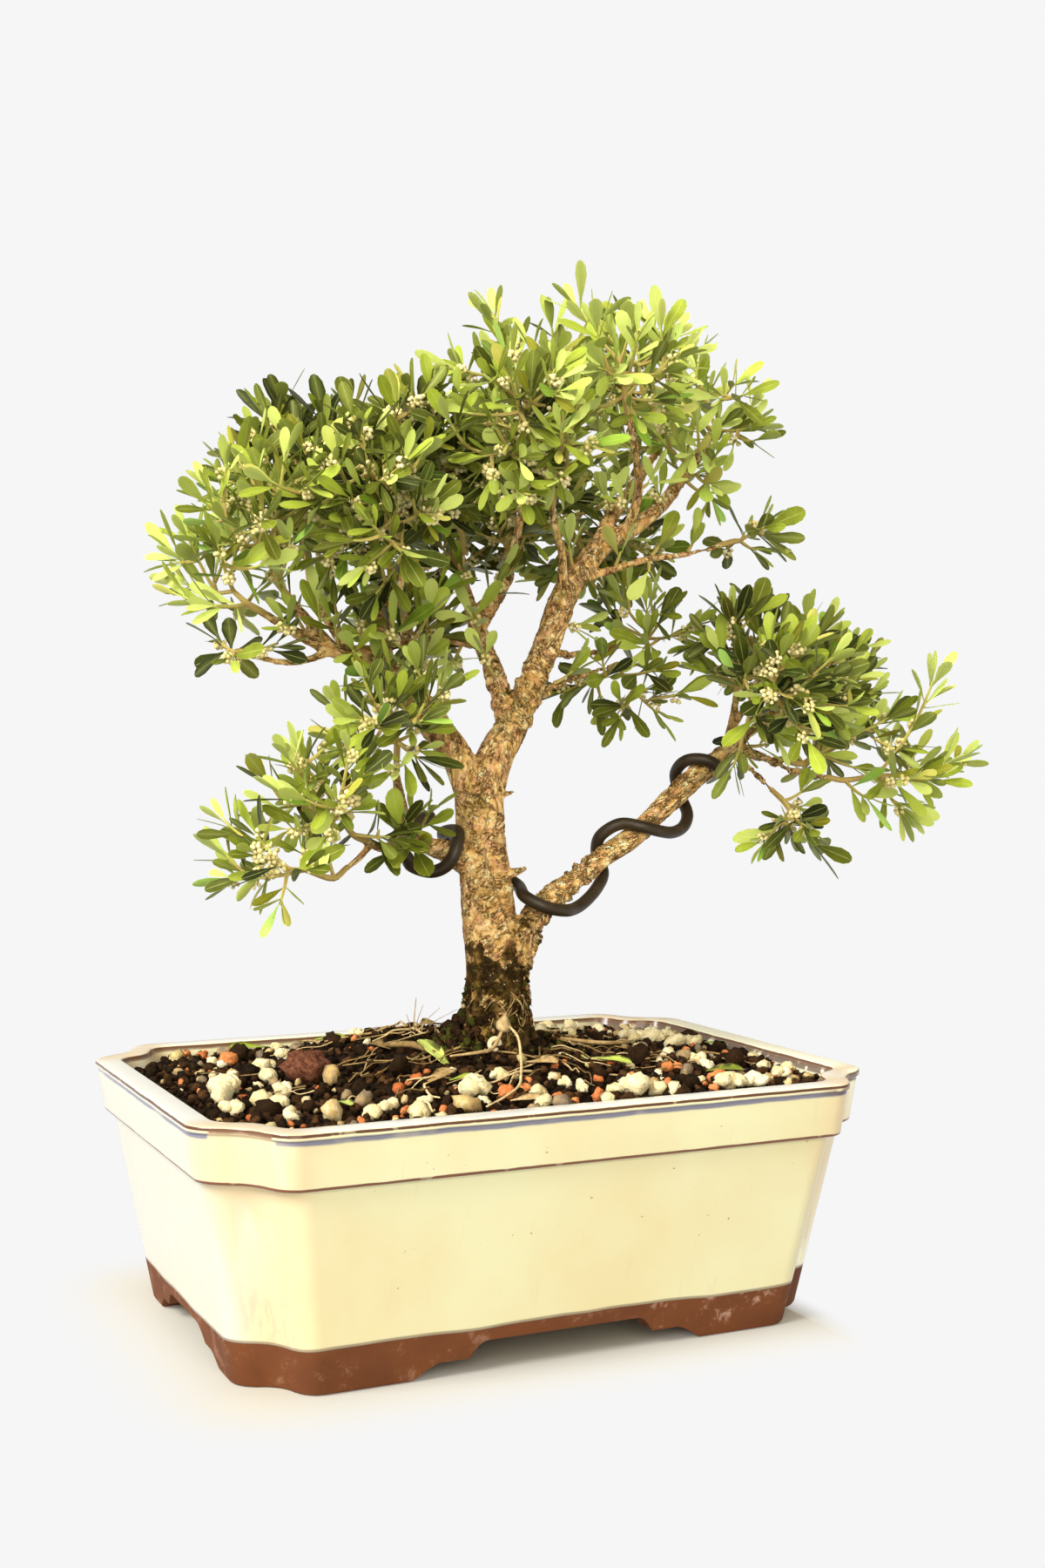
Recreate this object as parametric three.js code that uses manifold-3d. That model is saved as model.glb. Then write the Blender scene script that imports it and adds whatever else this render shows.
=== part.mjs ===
// Boxwood bonsai in a glazed rectangular pot. Millimetres, +Z up.
// Everything is laid out round the pot's centre; the tree leans out over the pot, so the pot then
// stands off the middle of the whole.
import * as THREE from 'three';
import { mergeVertices } from 'three/addons/utils/BufferGeometryUtils.js';
import Module from 'manifold-3d';

const wasm = await Module();
wasm.setup();

// Pot: fired in one piece, with its feet
const potHeight = 80;
const potCentre = { x: -40.5, y: -10.2 };
const rim = { a: 113.8, b: 86.7, ca: 20.7, cb: 23.2 }; // half sizes and corner legs
const footprint = { a: 97.1, b: 67.5, ca: 16.8, cb: 17.5 };
const bodyTop = { z: 62.4, a: 108.3, b: 81.2, ca: 19.5, cb: 21.5 };
const bandBottom = 63.8;
const lipHeight = 2.2;
const lipProud = 0.9; // the lip over the band
const bandTaper = 3; // what the band draws in at its lower edge
const rimWidth = 8.35;
const rimRound = 0.8; // rounding of the rim's top edges
const footBevel = 1.2;
const wallThickness = 7;
const floorUnder = 10;
const floorTop = 17.5;
const floorFillet = 4;
const footThickness = 9;
const cornerHollow = 2.6; // how far each corner curves in
const cornerBend = 4; // rounding where a corner meets a side
const ledge = 5; // height of the step in each foot's cut
const frontCut = { foot: 49, ledgeOut: 40, ledgeIn: 31, top: 25 };
const sideCut = { foot: 36, ledgeOut: 28, ledgeIn: 22, top: 15 };
const drain = { radius: 9, x: 50 };

// Soil, with the trunk standing in a plain hole
const gap = 0.3;
const soilEdge = 76.5;
const soilPeak = 88;
const mound = 92; // distance from the trunk at which the mound has run out
const stones = 16;
const stoneSunk = 0.9;
const stoneSize = 3;
const stoneReach = 1.42; // keeps stones out of the pot's corners
const soilRings = [0.87, 0.7, 0.53, 0.38, 0.25, 0.14]; // from the edge in to the trunk
const soilHole = 71;

// Mesh over each drain hole, held by a bent wire
const mesh = { side: 23, thickness: 1, holes: 3, bar: 1.6 };
const clip = { radius: 0.7, foot: 6, bend: 1 };

// Trunk and branches: centre line and radius, x, y, z, r
const limbs = {
  trunk: [[11, 5, 71.5, 15], [11, 5, 80, 14], [11, 5, 88, 12.5], [11, 5, 99, 11.5], [11, 5, 111, 10.5],
    [9, 6, 126, 9.5], [8, 7, 140, 9], [7, 8, 153, 8.5], [6, 8, 165, 8.5], [6, 8, 173, 7.5], [6, 8, 178, 4]],
  left_main: [[6, 9, 166, 7], [-2, 9, 183, 5.5], [-12, 8, 195, 5.5], [-21, 7, 205, 5.5], [-31, 7, 214, 5],
    [-45, 4, 217, 3], [-60, 1, 222, 2], [-74, -2, 229, 1.3]],
  left_up: [[-28, 6, 212, 3], [-31, 3, 220, 3], [-32, -3, 229, 2.4], [-30, -9, 237, 1.8], [-30, -12, 244, 1.4]],
  left_fork: [[-46, 4, 217, 2], [-58, 0, 227, 1.8], [-65, -3, 234, 1.3]],
  left_back: [[-22, 8, 206, 3], [-17, 18, 218, 2.5], [-11, 33, 229, 1.8], [-7, 49, 240, 1.3]],
  left_mid: [[-41, 5, 216, 2], [-43, 17, 225, 1.7], [-45, 27, 234, 1.3]],
  left_low: [[-48, 3, 217, 1.4], [-64, 0, 213, 1.2], [-77, -1, 215, 1]],
  right_main: [[7, 8, 169, 7], [12, 8, 183, 6.5], [20, 8, 196, 5.5], [26, 8, 209, 5.3], [32, 9, 221, 5],
    [38, 11, 235, 5], [44, 12, 246, 4.6]],
  right_out: [[42, 12, 242, 4.5], [54, 10, 257, 4], [66, 8, 264, 3.2], [76, 6, 272, 2.6], [84, 6, 282, 2.4],
    [90, 6, 289, 1.9], [95, 6, 296, 1.4]],
  right_high: [[51, 10, 253, 3.4], [62, 17, 269, 2.8], [74, 23, 281, 2.2], [86, 29, 294, 1.5]],
  right_thin: [[39, 12, 239, 2.4], [36, 5, 252, 1.7], [29, -3, 262, 1.4], [26, -8, 269, 1.2]],
  right_twig: [[44, 12, 244, 2], [59, 10, 249, 1.5], [72, 8, 253, 1.4], [86, 6, 255, 1.3], [100, 5, 259, 1.1]],
  right_low: [[26, 8, 203, 2.2], [40, 11, 209, 1.6], [51, 17, 212, 1.3], [64, 22, 215, 1]],
  right_side: [[33, 10, 219, 2], [50, 18, 219, 1.5], [66, 28, 222, 1.3], [84, 37, 226, 1.1]],
  right_back: [[34, 10, 225, 2.8], [45, 27, 239, 2.5], [57, 44, 253, 1.9], [65, 58, 268, 1.4]],
  crown_left: [[26, 31, 243, 2], [31, 31, 262, 1.7], [31, 24, 281, 1.4], [27, 14, 296, 1.2]],
  crown_right: [[63, 8, 262, 2.4], [61, -4, 275, 1.8], [54, -14, 288, 1.4], [48, -20, 299, 1.2]],
  mid_main: [[18, 9, 189, 4.5], [17, 15, 204, 4], [17, 22, 214, 3.6], [16, 29, 224, 3.5], [16, 34, 231, 3.3]],
  mid_left: [[16, 32, 227, 3], [13, 33, 238, 2.5], [9, 30, 246, 1.8], [7, 25, 255, 1.3]],
  mid_right: [[16, 32, 228, 3], [22, 30, 238, 2.6], [28, 32, 247, 2.1], [34, 46, 256, 1.4]],
  mid_thin: [[16, 28, 222, 1.8], [13, 39, 223, 1.3], [9, 50, 225, 1.1], [5, 59, 223, 1]],
  mid_back: [[16, 29, 223, 2.4], [20, 44, 233, 2], [23, 59, 244, 1.6], [25, 72, 254, 1.3]],
  low_left: [[2, 7, 147, 5.5], [-7, 6, 151, 4], [-14, 4, 153, 3.2], [-21, 3, 157, 2.6], [-25, 1, 167, 2],
    [-28, -2, 176, 1.6], [-29, -5, 183, 1.2]],
  low_left_out: [[-18, 3, 155, 2.4], [-27, -1, 155, 1.9], [-34, -4, 153, 1.6], [-41, -7, 156, 1.2]],
  low_left_down: [[-38, -5.7, 154.8, 1.4], [-44, -9, 150, 1.2], [-49, -11, 147, 1]],
  right_lower: [[15, 2, 110, 6.5], [22, 3, 124, 5.5], [30, 5, 132, 5], [41, 8, 139, 4.5], [54, 10, 147, 4],
    [65, 11, 153, 4], [75, 12, 160, 4], [86, 13, 169, 4.5], [95, 13, 176, 4.5], [103, 14, 181, 4],
    [110, 13, 187, 3.4], [116, 13, 191, 2.2]],
  pad_up: [[107, 13, 184, 2.8], [107, 8, 196, 1.9], [105, 3, 204, 1.3]],
  pad_front: [[107, 9, 193, 1.8], [102, -5, 198, 1.4], [98, -17, 201, 1.1]],
  pad_out: [[111, 13, 187, 2.6], [118, 9, 183, 1.9], [130, 6, 181, 1.4]],
  pad_tip: [[120, 9, 182.5, 1.5], [130, 1, 177, 1.3], [141, -4, 175, 1.1]],
  pad_in: [[113, 13, 189, 2.2], [127, 17, 197, 1.8], [138, 20, 205, 1.3]],
  pad_low: [[109, 12, 185, 2.2], [115, 5, 176, 1.3], [118, -2, 170, 1]],
};
const barkDepth = 0.12; // share of the radius that the fissures take
const barkLimit = 0.9;

// Training wire: stations along the limb, turn in degrees from the top, slack over the bark
const wireRadius = 2.2;
const wireSeat = 0.4;
const wireSides = 8;
const wireSteps = 50;
const leftWound = [[-41, -7, 156, 1.1], [-34, -4, 153, 1.6], [-27, -1, 155, 1.9], [-21, 3, 157, 2.6],
  [-14, 4, 153, 3.2], [-7, 6, 151, 4], [1, 7, 148, 5]];
const leftTurns = [[8.5, 132, 1.2], [11.5, 100, 0.8], [16, 70, 0.8], [21.5, 48, 1.8], [26, 15, 2.6],
  [25, -50, 1.4], [21, -120, 1], [19, -165, 1], [24, -176, 2.4], [30, -170, 3], [34.5, -182, 2],
  [37, -216, 0.6], [38, -262, 0.3], [39, -305, 0.3], [40, -340, 1]];
const behindTrunk = [[-5.5, 12, 157], [-1.5, 18, 153.5], [5, 19.8, 149.5], [12, 18.8, 145.5], [18, 14.8, 141.5],
  [21.3, 9.6, 138.3]];
const rightTurns = [[21.5, 10, 1.6], [22, 58, 0.6], [27, 106, 0], [34, 142, 0.6], [41, 158, 1.2],
  [49, 176, 0.8], [56, 210, 0.5], [58.5, 265, 0.2], [60.5, 318, 0.1], [64, 346, 0.6], [69, 368, 0.3],
  [73, 420, 0], [78, 470, 0.6], [83, 506, 2], [89, 526, 3.2], [95, 548, 2], [99, 602, 0.3], [102, 665, 0],
  [105.5, 722, 0.2], [109, 766, 0], [111.5, 812, 0.3], [112.5, 850, 1.4]];

// Foliage: each spray grows from a branch's end through a space round its own centre
const leaf = { length: 15.5, width: 5.6, thickness: 0.9 };
const leafRoom = { length: 16.3, width: 6.6, thickness: 2.2 }; // clear space that a leaf asks for
const stemRadius = 1;
const shootRadius = 0.9;
const rootSunk = 0.8;
const tipRadius = 0.7;
const tipBud = 1;
const shootShortest = 9;
const shootSag = 0.1; // share of its span by which a shoot hangs before it turns up
const pathWeight = 0.35; // how much a shoot prefers to leave near the spray's root
const pairStep = 7.5; // along a shoot
const nodeHalf = 0.6; // half the length of twig that a pair of leaves takes
const mostPairs = 3;
const [spreadTop, spreadLower] = [30, 52]; // degrees between a leaf and its twig
const sprays = {
  left_tip: { on: 'left_main', centre: [-86, 2, 239], reach: [16, 30, 20], shoots: 3 },
  left_fork: { on: 'left_fork', centre: [-76, -10, 262], reach: [20, 30, 21], shoots: 2 },
  left_mid: { on: 'left_mid', centre: [-53, 30, 278], reach: [22, 32, 26], shoots: 3 },
  left_up: { on: 'left_up', centre: [-46, -28, 262], reach: [20, 26, 26], shoots: 3 },
  left_back: { on: 'left_back', centre: [-15, 66, 281], reach: [27, 30, 31], shoots: 3 },
  left_low: { on: 'left_low', centre: [-80, 0, 217], reach: [16, 14, 8], shoots: 1 },
  mid_left: { on: 'mid_left', centre: [-18, 0, 280], reach: [24, 28, 26], shoots: 3 },
  mid_right: { on: 'mid_right', centre: [38, 50, 282], reach: [24, 26, 28], shoots: 2 },
  mid_thin: { on: 'mid_thin', centre: [4, 66, 230], reach: [16, 14, 12], shoots: 1 },
  mid_back: { on: 'mid_back', centre: [26, 86, 276], reach: [30, 24, 30], shoots: 3 },
  right_front: { on: 'right_thin', centre: [2, -34, 286], reach: [24, 26, 26], shoots: 3 },
  right_high: { on: 'right_high', centre: [84, 44, 320], reach: [28, 28, 30], shoots: 3 },
  right_out: { on: 'right_out', centre: [90, 0, 298], reach: [16, 26, 26], shoots: 3 },
  right_twig: { on: 'right_twig', centre: [104, 4, 262], reach: [12, 12, 9], shoots: 1 },
  right_low: { on: 'right_low', centre: [68, 20, 208], reach: [24, 22, 15], shoots: 2 },
  right_side: { on: 'right_side', centre: [88, 36, 236], reach: [22, 26, 17], shoots: 2 },
  right_back: { on: 'right_back', centre: [84, 74, 268], reach: [28, 26, 28], shoots: 2 },
  top_left: { on: 'crown_left', centre: [22, 10, 314], reach: [24, 28, 20], shoots: 3 },
  top_right: { on: 'crown_right', centre: [46, -22, 310], reach: [27, 26, 19], shoots: 3 },
  low_up: { on: 'low_left', centre: [-35, -14, 196], reach: [20, 24, 20], shoots: 3 },
  low_mid: { on: 'low_left_out', centre: [-58, -14, 173], reach: [22, 24, 18], shoots: 3 },
  low_out: { on: 'low_left_down', centre: [-72, -12, 150], reach: [22, 20, 15], shoots: 2 },
  pad_up: { on: 'pad_up', centre: [108, 6, 223], reach: [22, 24, 19], shoots: 3 },
  pad_front: { on: 'pad_front', centre: [104, -36, 206], reach: [20, 22, 20], shoots: 3 },
  pad_out: { on: 'pad_out', centre: [150, 6, 192], reach: [24, 26, 20], shoots: 3 },
  pad_tip: { on: 'pad_tip', centre: [166, -18, 178], reach: [24, 22, 18], shoots: 3 },
  pad_in: { on: 'pad_in', centre: [158, 32, 214], reach: [26, 26, 22], shoots: 2 },
  pad_low: { on: 'pad_low', centre: [121, -12, 160], reach: [18, 18, 13], shoots: 2 },
};

const colours = {
  glaze: 0xefe4b4,
  soil: 0x2a1d15,
  mesh: 0x2c2c2c,
  clip: 0x6a5d50,
  bark: 0xb2905c,
  wire: 0x40342a,
  leaf: 0x7d9a3c,
};

// Solids
function solidOf(geometry) {
  const plain = geometry.clone();
  plain.deleteAttribute('normal');
  plain.deleteAttribute('uv');
  const merged = mergeVertices(plain, 1e-4);
  const vertProperties = new Float32Array(merged.attributes.position.array);
  const triVerts = new Uint32Array(merged.index.array);
  return new wasm.Manifold(new wasm.Mesh({ numProp: 3, vertProperties, triVerts }));
}

function indexed(points, faces) {
  const geometry = new THREE.BufferGeometry();
  const places = points.flatMap((p) => [p.x, p.y, p.z]);
  geometry.setAttribute('position', new THREE.Float32BufferAttribute(places, 3));
  geometry.setIndex(faces.flat());
  return geometry;
}

function named(name, solid, colour, roughness, metalness = 0) {
  const { vertProperties, triVerts } = solid.getMesh();
  const geometry = new THREE.BufferGeometry();
  geometry.setAttribute('position', new THREE.Float32BufferAttribute(vertProperties, 3));
  geometry.setIndex(Array.from(triVerts));
  geometry.computeVertexNormals();
  const material = new THREE.MeshStandardMaterial({ color: colour, roughness, metalness });
  const piece = new THREE.Mesh(geometry, material);
  piece.name = name;
  return piece;
}

// Skin over rings of points that all have the same count, closed at both ends
function loft(rings) {
  const count = rings[0].length;
  const faces = [];
  for (let k = 0; k + 1 < rings.length; k += 1) {
    for (let i = 0; i < count; i += 1) {
      const j = (i + 1) % count;
      const [a, b, c, d] = [k * count + i, k * count + j, (k + 1) * count + j, (k + 1) * count + i];
      faces.push([a, b, c], [a, c, d]);
    }
  }
  const end = (rings.length - 1) * count;
  const flat = (ring) => THREE.ShapeUtils.triangulateShape(ring.map((p) => new THREE.Vector2(p.x, p.y)), []);
  flat(rings[0]).forEach(([a, b, c]) => faces.push([c, b, a]));
  flat(rings[rings.length - 1]).forEach(([a, b, c]) => faces.push([end + a, end + b, end + c]));
  return solidOf(indexed(rings.flat(), faces));
}

// Pot outline at a height: a rectangle whose corners bend in
function outline(z, { a, b, ca, cb }) {
  const start = new THREE.Vector2(a, b - cb);
  const end = new THREE.Vector2(a - ca, b);
  const inward = new THREE.Vector2(-1, -1).normalize().multiplyScalar(cornerHollow);
  const near = start.clone().lerp(end, 0.25).addScaledVector(inward, 0.6);
  const far = start.clone().lerp(end, 0.75).addScaledVector(inward, 0.6);
  const middle = start.clone().lerp(end, 0.5).addScaledVector(inward, 1.4);
  const bends = [
    new THREE.QuadraticBezierCurve(new THREE.Vector2(a, b - cb - cornerBend), start, near),
    new THREE.QuadraticBezierCurve(near, middle, far),
    new THREE.QuadraticBezierCurve(far, end, new THREE.Vector2(a - ca - cornerBend, b)),
  ];
  const quarter = bends.flatMap((bend, i) => bend.getPoints(2).slice(i ? 1 : 0));
  const back = [...quarter].reverse();
  return [
    ...quarter.map((p) => new THREE.Vector3(p.x, p.y, z)),
    ...back.map((p) => new THREE.Vector3(-p.x, p.y, z)),
    ...quarter.map((p) => new THREE.Vector3(-p.x, -p.y, z)),
    ...back.map((p) => new THREE.Vector3(p.x, -p.y, z)),
  ];
}

function inset({ a, b, ca, cb }, depth) {
  const leg = depth * (2 - Math.SQRT2);
  return { a: a - depth, b: b - depth, ca: ca - leg, cb: cb - leg };
}

// The body's outer face, which leans out evenly from the feet to the band
function wall(z) {
  const t = z / bodyTop.z;
  const at = (key) => THREE.MathUtils.lerp(footprint[key], bodyTop[key], t);
  return { a: at('a'), b: at('b'), ca: at('ca'), cb: at('cb') };
}

function cavity(z) {
  return inset(wall(z), wallThickness);
}

// One side of the arch between two feet, with its ledge
function footCut(cut) {
  const shape = new THREE.Shape();
  shape.moveTo(-cut.foot, -1);
  shape.lineTo(-cut.foot, 0);
  shape.quadraticCurveTo(-cut.ledgeOut - 2, ledge, -cut.ledgeOut, ledge);
  shape.lineTo(-cut.ledgeIn, ledge);
  shape.quadraticCurveTo(-cut.top - 3, floorUnder, -cut.top, floorUnder);
  shape.lineTo(cut.top, floorUnder);
  shape.quadraticCurveTo(cut.top + 3, floorUnder, cut.ledgeIn, ledge);
  shape.lineTo(cut.ledgeOut, ledge);
  shape.quadraticCurveTo(cut.ledgeOut + 2, ledge, cut.foot, 0);
  shape.lineTo(cut.foot, -1);
  return shape;
}

function archThrough(cut, depth) {
  const arch = new THREE.ExtrudeGeometry(footCut(cut), { depth, bevelEnabled: false, curveSegments: 3 });
  arch.translate(0, 0, -depth / 2);
  arch.rotateX(Math.PI / 2);
  return arch;
}

function makePot() {
  const clay = loft([
    outline(0, inset(wall(0), footBevel)),
    outline(footBevel, wall(footBevel)),
    outline(bodyTop.z, bodyTop),
    outline(bandBottom, inset(rim, bandTaper)),
    outline(potHeight - lipHeight - rimRound / 2, inset(rim, lipProud)),
    outline(potHeight - lipHeight, rim),
    outline(potHeight - rimRound, rim),
    outline(potHeight, inset(rim, rimRound)),
    outline(potHeight, inset(rim, rimWidth - rimRound)),
    outline(potHeight - rimRound, inset(rim, rimWidth)),
    outline(bodyTop.z, cavity(bodyTop.z)),
    outline(floorTop + floorFillet, cavity(floorTop + floorFillet)),
    outline(floorTop, inset(cavity(floorTop), floorFillet)),
  ]);
  const underSize = inset(wall(0), footThickness);
  const under = loft([outline(-1, underSize), outline(floorUnder, underSize)]);
  const frontArch = archThrough(frontCut, rim.b * 3);
  const sideArch = archThrough(sideCut, rim.a * 3);
  sideArch.rotateZ(Math.PI / 2);
  let pot = clay.subtract(under).subtract(solidOf(frontArch)).subtract(solidOf(sideArch));
  for (const side of [-1, 1]) {
    const hole = new THREE.CylinderGeometry(drain.radius, drain.radius, floorTop * 2, 20);
    hole.rotateX(Math.PI / 2);
    hole.translate(side * drain.x, 0, floorTop);
    pot = pot.subtract(solidOf(hole));
  }
  return pot;
}

// A limb: rings round a smooth centre line, with the bark's fissures cut inward
function limbCurve(points) {
  const places = points.map(([x, y, z]) => new THREE.Vector3(x, y, z));
  return new THREE.CatmullRomCurve3(places, false, 'centripetal');
}

function ringAround(centre, across, lift, radius, sides, relief) {
  return Array.from({ length: sides }, (_, i) => {
    const turn = (i / sides) * Math.PI * 2;
    const reach = radius - relief(i);
    return centre.clone()
      .addScaledVector(across, Math.cos(turn) * reach)
      .addScaledVector(lift, Math.sin(turn) * reach);
  });
}

function capped(rings, first, last) {
  const sides = rings[0].length;
  const faces = [];
  const points = [...rings.flat(), first, last];
  const [low, high] = [points.length - 2, points.length - 1];
  const end = (rings.length - 1) * sides;
  for (let i = 0; i < sides; i += 1) {
    const j = (i + 1) % sides;
    faces.push([low, j, i], [high, end + i, end + j]);
    for (let k = 0; k < end; k += sides) {
      faces.push([k + i, k + j, k + sides + j], [k + i, k + sides + j, k + sides + i]);
    }
  }
  return indexed(points, faces);
}

function sweep(centres, radii, sides, relief = () => 0) {
  let across = new THREE.Vector3(0, 1, 0);
  const rings = centres.map((centre, k) => {
    const before = centres[Math.max(k - 1, 0)];
    const after = centres[Math.min(k + 1, centres.length - 1)];
    const along = after.clone().sub(before).normalize();
    if (Math.abs(along.dot(across)) > 0.95) {
      across = new THREE.Vector3(1, 0, 0);
    }
    across = across.clone().addScaledVector(along, -across.dot(along)).normalize();
    const lift = along.clone().cross(across);
    return ringAround(centre, across, lift, radii[k], sides, (i) => relief(k, i, radii[k]));
  });
  return capped(rings, centres[0], centres[centres.length - 1]);
}

function fissure(k, i, radius) {
  const wave = 0.5 + 0.5 * Math.sin(k * 4.7 + i * 2.3);
  return wave * Math.min(barkDepth * radius, barkLimit);
}

function sidesFor(radius) {
  if (radius > 5) {
    return 8;
  }
  return radius > 2.5 ? 6 : 4;
}

function makeWood() {
  const grown = Object.values(limbs).map((points) => {
    const centres = points.map(([x, y, z]) => new THREE.Vector3(x, y, z));
    const radii = points.map((point) => point[3]);
    return solidOf(sweep(centres, radii, sidesFor(radii[0]), fissure));
  });
  return wasm.Manifold.union(grown);
}

// The plain hole that the foot of the trunk stands in
function trunkHole() {
  const foot = limbs.trunk.slice(0, 4);
  const centres = foot.map(([x, y, z], i) => new THREE.Vector3(x, y, i ? z : soilHole));
  return solidOf(sweep(centres, foot.map((point) => point[3] + gap * 1.6), 16));
}

// Soil: fills the pot and rises to the trunk
function soilHeight(x, y) {
  const [tx, ty] = limbs.trunk[0];
  const t = THREE.MathUtils.clamp(1 - Math.hypot(x - tx, y - ty) / mound, 0, 1);
  const lumps = Math.sin(x * 0.31 + 1.3) * Math.cos(y * 0.27) * 0.8;
  return soilEdge + (soilPeak - soilEdge) * t ** 1.3 + lumps * Math.min(1, t * 4);
}

function makeStone(x, y, i) {
  const stone = new THREE.IcosahedronGeometry(stoneSize * (1 + ((i * 7) % 5) * 0.15), 0);
  stone.scale(1.25, 0.95, 0.75);
  stone.rotateZ(i * 2.4);
  stone.rotateX(0.3 * Math.sin(i * 5));
  stone.translate(x, y, soilHeight(x, y) - stoneSunk);
  return solidOf(stone);
}

function makeSoil() {
  const [tx, ty] = limbs.trunk[0];
  const edge = outline(soilEdge, inset(cavity(soilEdge), gap));
  const rings = [
    outline(floorTop + gap, inset(cavity(floorTop), floorFillet + gap * 2)),
    outline(floorTop + floorFillet, inset(cavity(floorTop + floorFillet), gap * 2)),
    edge,
  ];
  for (const share of soilRings) {
    rings.push(edge.map((p) => {
      const [x, y] = [tx + (p.x - tx) * share, ty + (p.y - ty) * share];
      return new THREE.Vector3(x, y, soilHeight(x, y));
    }));
  }
  const parts = [loft(rings)];
  const goldenTurn = Math.PI * (3 - Math.sqrt(5));
  for (let i = 0; i < stones; i += 1) {
    const reach = 0.34 + 0.56 * Math.sqrt((i + 0.5) / stones);
    const x = tx * (1 - reach) + Math.cos(i * goldenTurn) * reach * cavity(soilEdge).a;
    const y = ty * (1 - reach) + Math.sin(i * goldenTurn) * reach * cavity(soilEdge).b;
    if (Math.abs(x) / rim.a + Math.abs(y) / rim.b < stoneReach) {
      parts.push(makeStone(x, y, i));
    }
  }
  let soil = wasm.Manifold.union(parts).subtract(trunkHole());
  const pocketDepth = mesh.thickness + clip.radius * 2 + gap * 3;
  for (const side of [-1, 1]) {
    const pocket = new THREE.BoxGeometry(mesh.side + gap * 2, mesh.side + gap * 2, pocketDepth * 2);
    pocket.translate(side * drain.x, 0, floorTop);
    soil = soil.subtract(solidOf(pocket));
  }
  return soil;
}

// Drain mesh, a flat lattice, and the wire that holds it, both under the soil
function makeDrainMesh(side) {
  const sheet = new THREE.BoxGeometry(mesh.side, mesh.side, mesh.thickness);
  sheet.translate(side * drain.x, 0, floorTop + gap + mesh.thickness / 2);
  const pitch = (mesh.side - mesh.bar) / mesh.holes;
  let lattice = solidOf(sheet);
  for (let i = 0; i < mesh.holes ** 2; i += 1) {
    const opening = new THREE.BoxGeometry(pitch - mesh.bar, pitch - mesh.bar, mesh.thickness * 3);
    const column = (i % mesh.holes) - (mesh.holes - 1) / 2;
    const row = Math.floor(i / mesh.holes) - (mesh.holes - 1) / 2;
    opening.translate(side * drain.x + column * pitch, row * pitch, floorTop + gap);
    lattice = lattice.subtract(solidOf(opening));
  }
  return lattice;
}

function makeDrainClip(side) {
  const leg = (mesh.side - mesh.bar) / mesh.holes;
  const top = floorTop + gap * 2 + mesh.thickness + clip.radius;
  const bottom = floorUnder - gap - clip.radius;
  const { bend, foot } = clip;
  const lower = [[-leg - foot, bottom], [-leg - bend, bottom], [-leg, bottom + bend]];
  const route = [...lower, [-leg, top - bend], [-leg + bend, top]];
  const centres = [...route, ...[...route].reverse().map(([x, z]) => [-x, z])]
    .map(([x, z]) => new THREE.Vector3(side * drain.x + x, 0, z));
  return solidOf(sweep(centres, centres.map(() => clip.radius), 6));
}

// The training wire: wound on the left branch, behind the trunk, wound on the right branch
function woundOn(points, stations) {
  const curve = limbCurve(points);
  const total = curve.getLength();
  const fine = 20; // steps between two points of the limb
  const lengths = curve.getLengths((points.length - 1) * fine).filter((_, i) => i % fine === 0);
  const radiusAt = (along) => {
    const i = Math.max(1, lengths.findIndex((length) => length >= along));
    const t = (along - lengths[i - 1]) / (lengths[i] - lengths[i - 1]);
    return THREE.MathUtils.lerp(points[i - 1][3], points[i][3], t);
  };
  return stations.map(([along, degrees, slack]) => {
    const u = along / total;
    const tangent = curve.getTangentAt(u);
    const front = tangent.clone().cross(new THREE.Vector3(0, 0, 1)).normalize();
    const top = front.clone().cross(tangent);
    const reach = radiusAt(along) + wireRadius + wireSeat + slack;
    const turn = THREE.MathUtils.degToRad(degrees);
    return curve.getPointAt(u)
      .addScaledVector(top, Math.cos(turn) * reach)
      .addScaledVector(front, Math.sin(turn) * reach);
  });
}

function makeWire() {
  const stations = [
    ...woundOn(leftWound, leftTurns),
    ...behindTrunk.map(([x, y, z]) => new THREE.Vector3(x, y, z)),
    ...woundOn(limbs.right_lower, rightTurns),
  ];
  const route = new THREE.CatmullRomCurve3(stations, false, 'centripetal');
  const centres = route.getSpacedPoints(wireSteps);
  return solidOf(sweep(centres, centres.map(() => wireRadius), wireSides));
}

// A leaf's own corners: its widest places, its tip, and the rib along the top
function leafCorners(root, along, out, side, spread, { length, width, thickness }) {
  const forward = along.clone().multiplyScalar(Math.cos(spread)).addScaledVector(out, Math.sin(spread));
  const up = along.clone().multiplyScalar(Math.sin(spread)).addScaledVector(out, -Math.cos(spread));
  const at = (x, y, z) => root.clone()
    .addScaledVector(forward, x * length)
    .addScaledVector(side, y * width)
    .addScaledVector(up, z * thickness);
  return [at(0.7, -0.5, 0), at(1, 0, 0), at(0.7, 0.5, 0), at(0.6, 0, 1)];
}

// Faces that draw one side of a twig, corners a b c d, out into a leaf whose corners start at n
function leafFaces([a, b, c, d], n) {
  const [left, tip, right, rib] = [n, n + 1, n + 2, n + 3];
  return [
    [a, b, right], [a, right, left], [left, right, tip], [b, c, right], [d, a, left],
    [c, d, rib], [right, c, rib], [right, rib, tip], [rib, left, tip], [rib, d, left],
  ];
}

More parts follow.
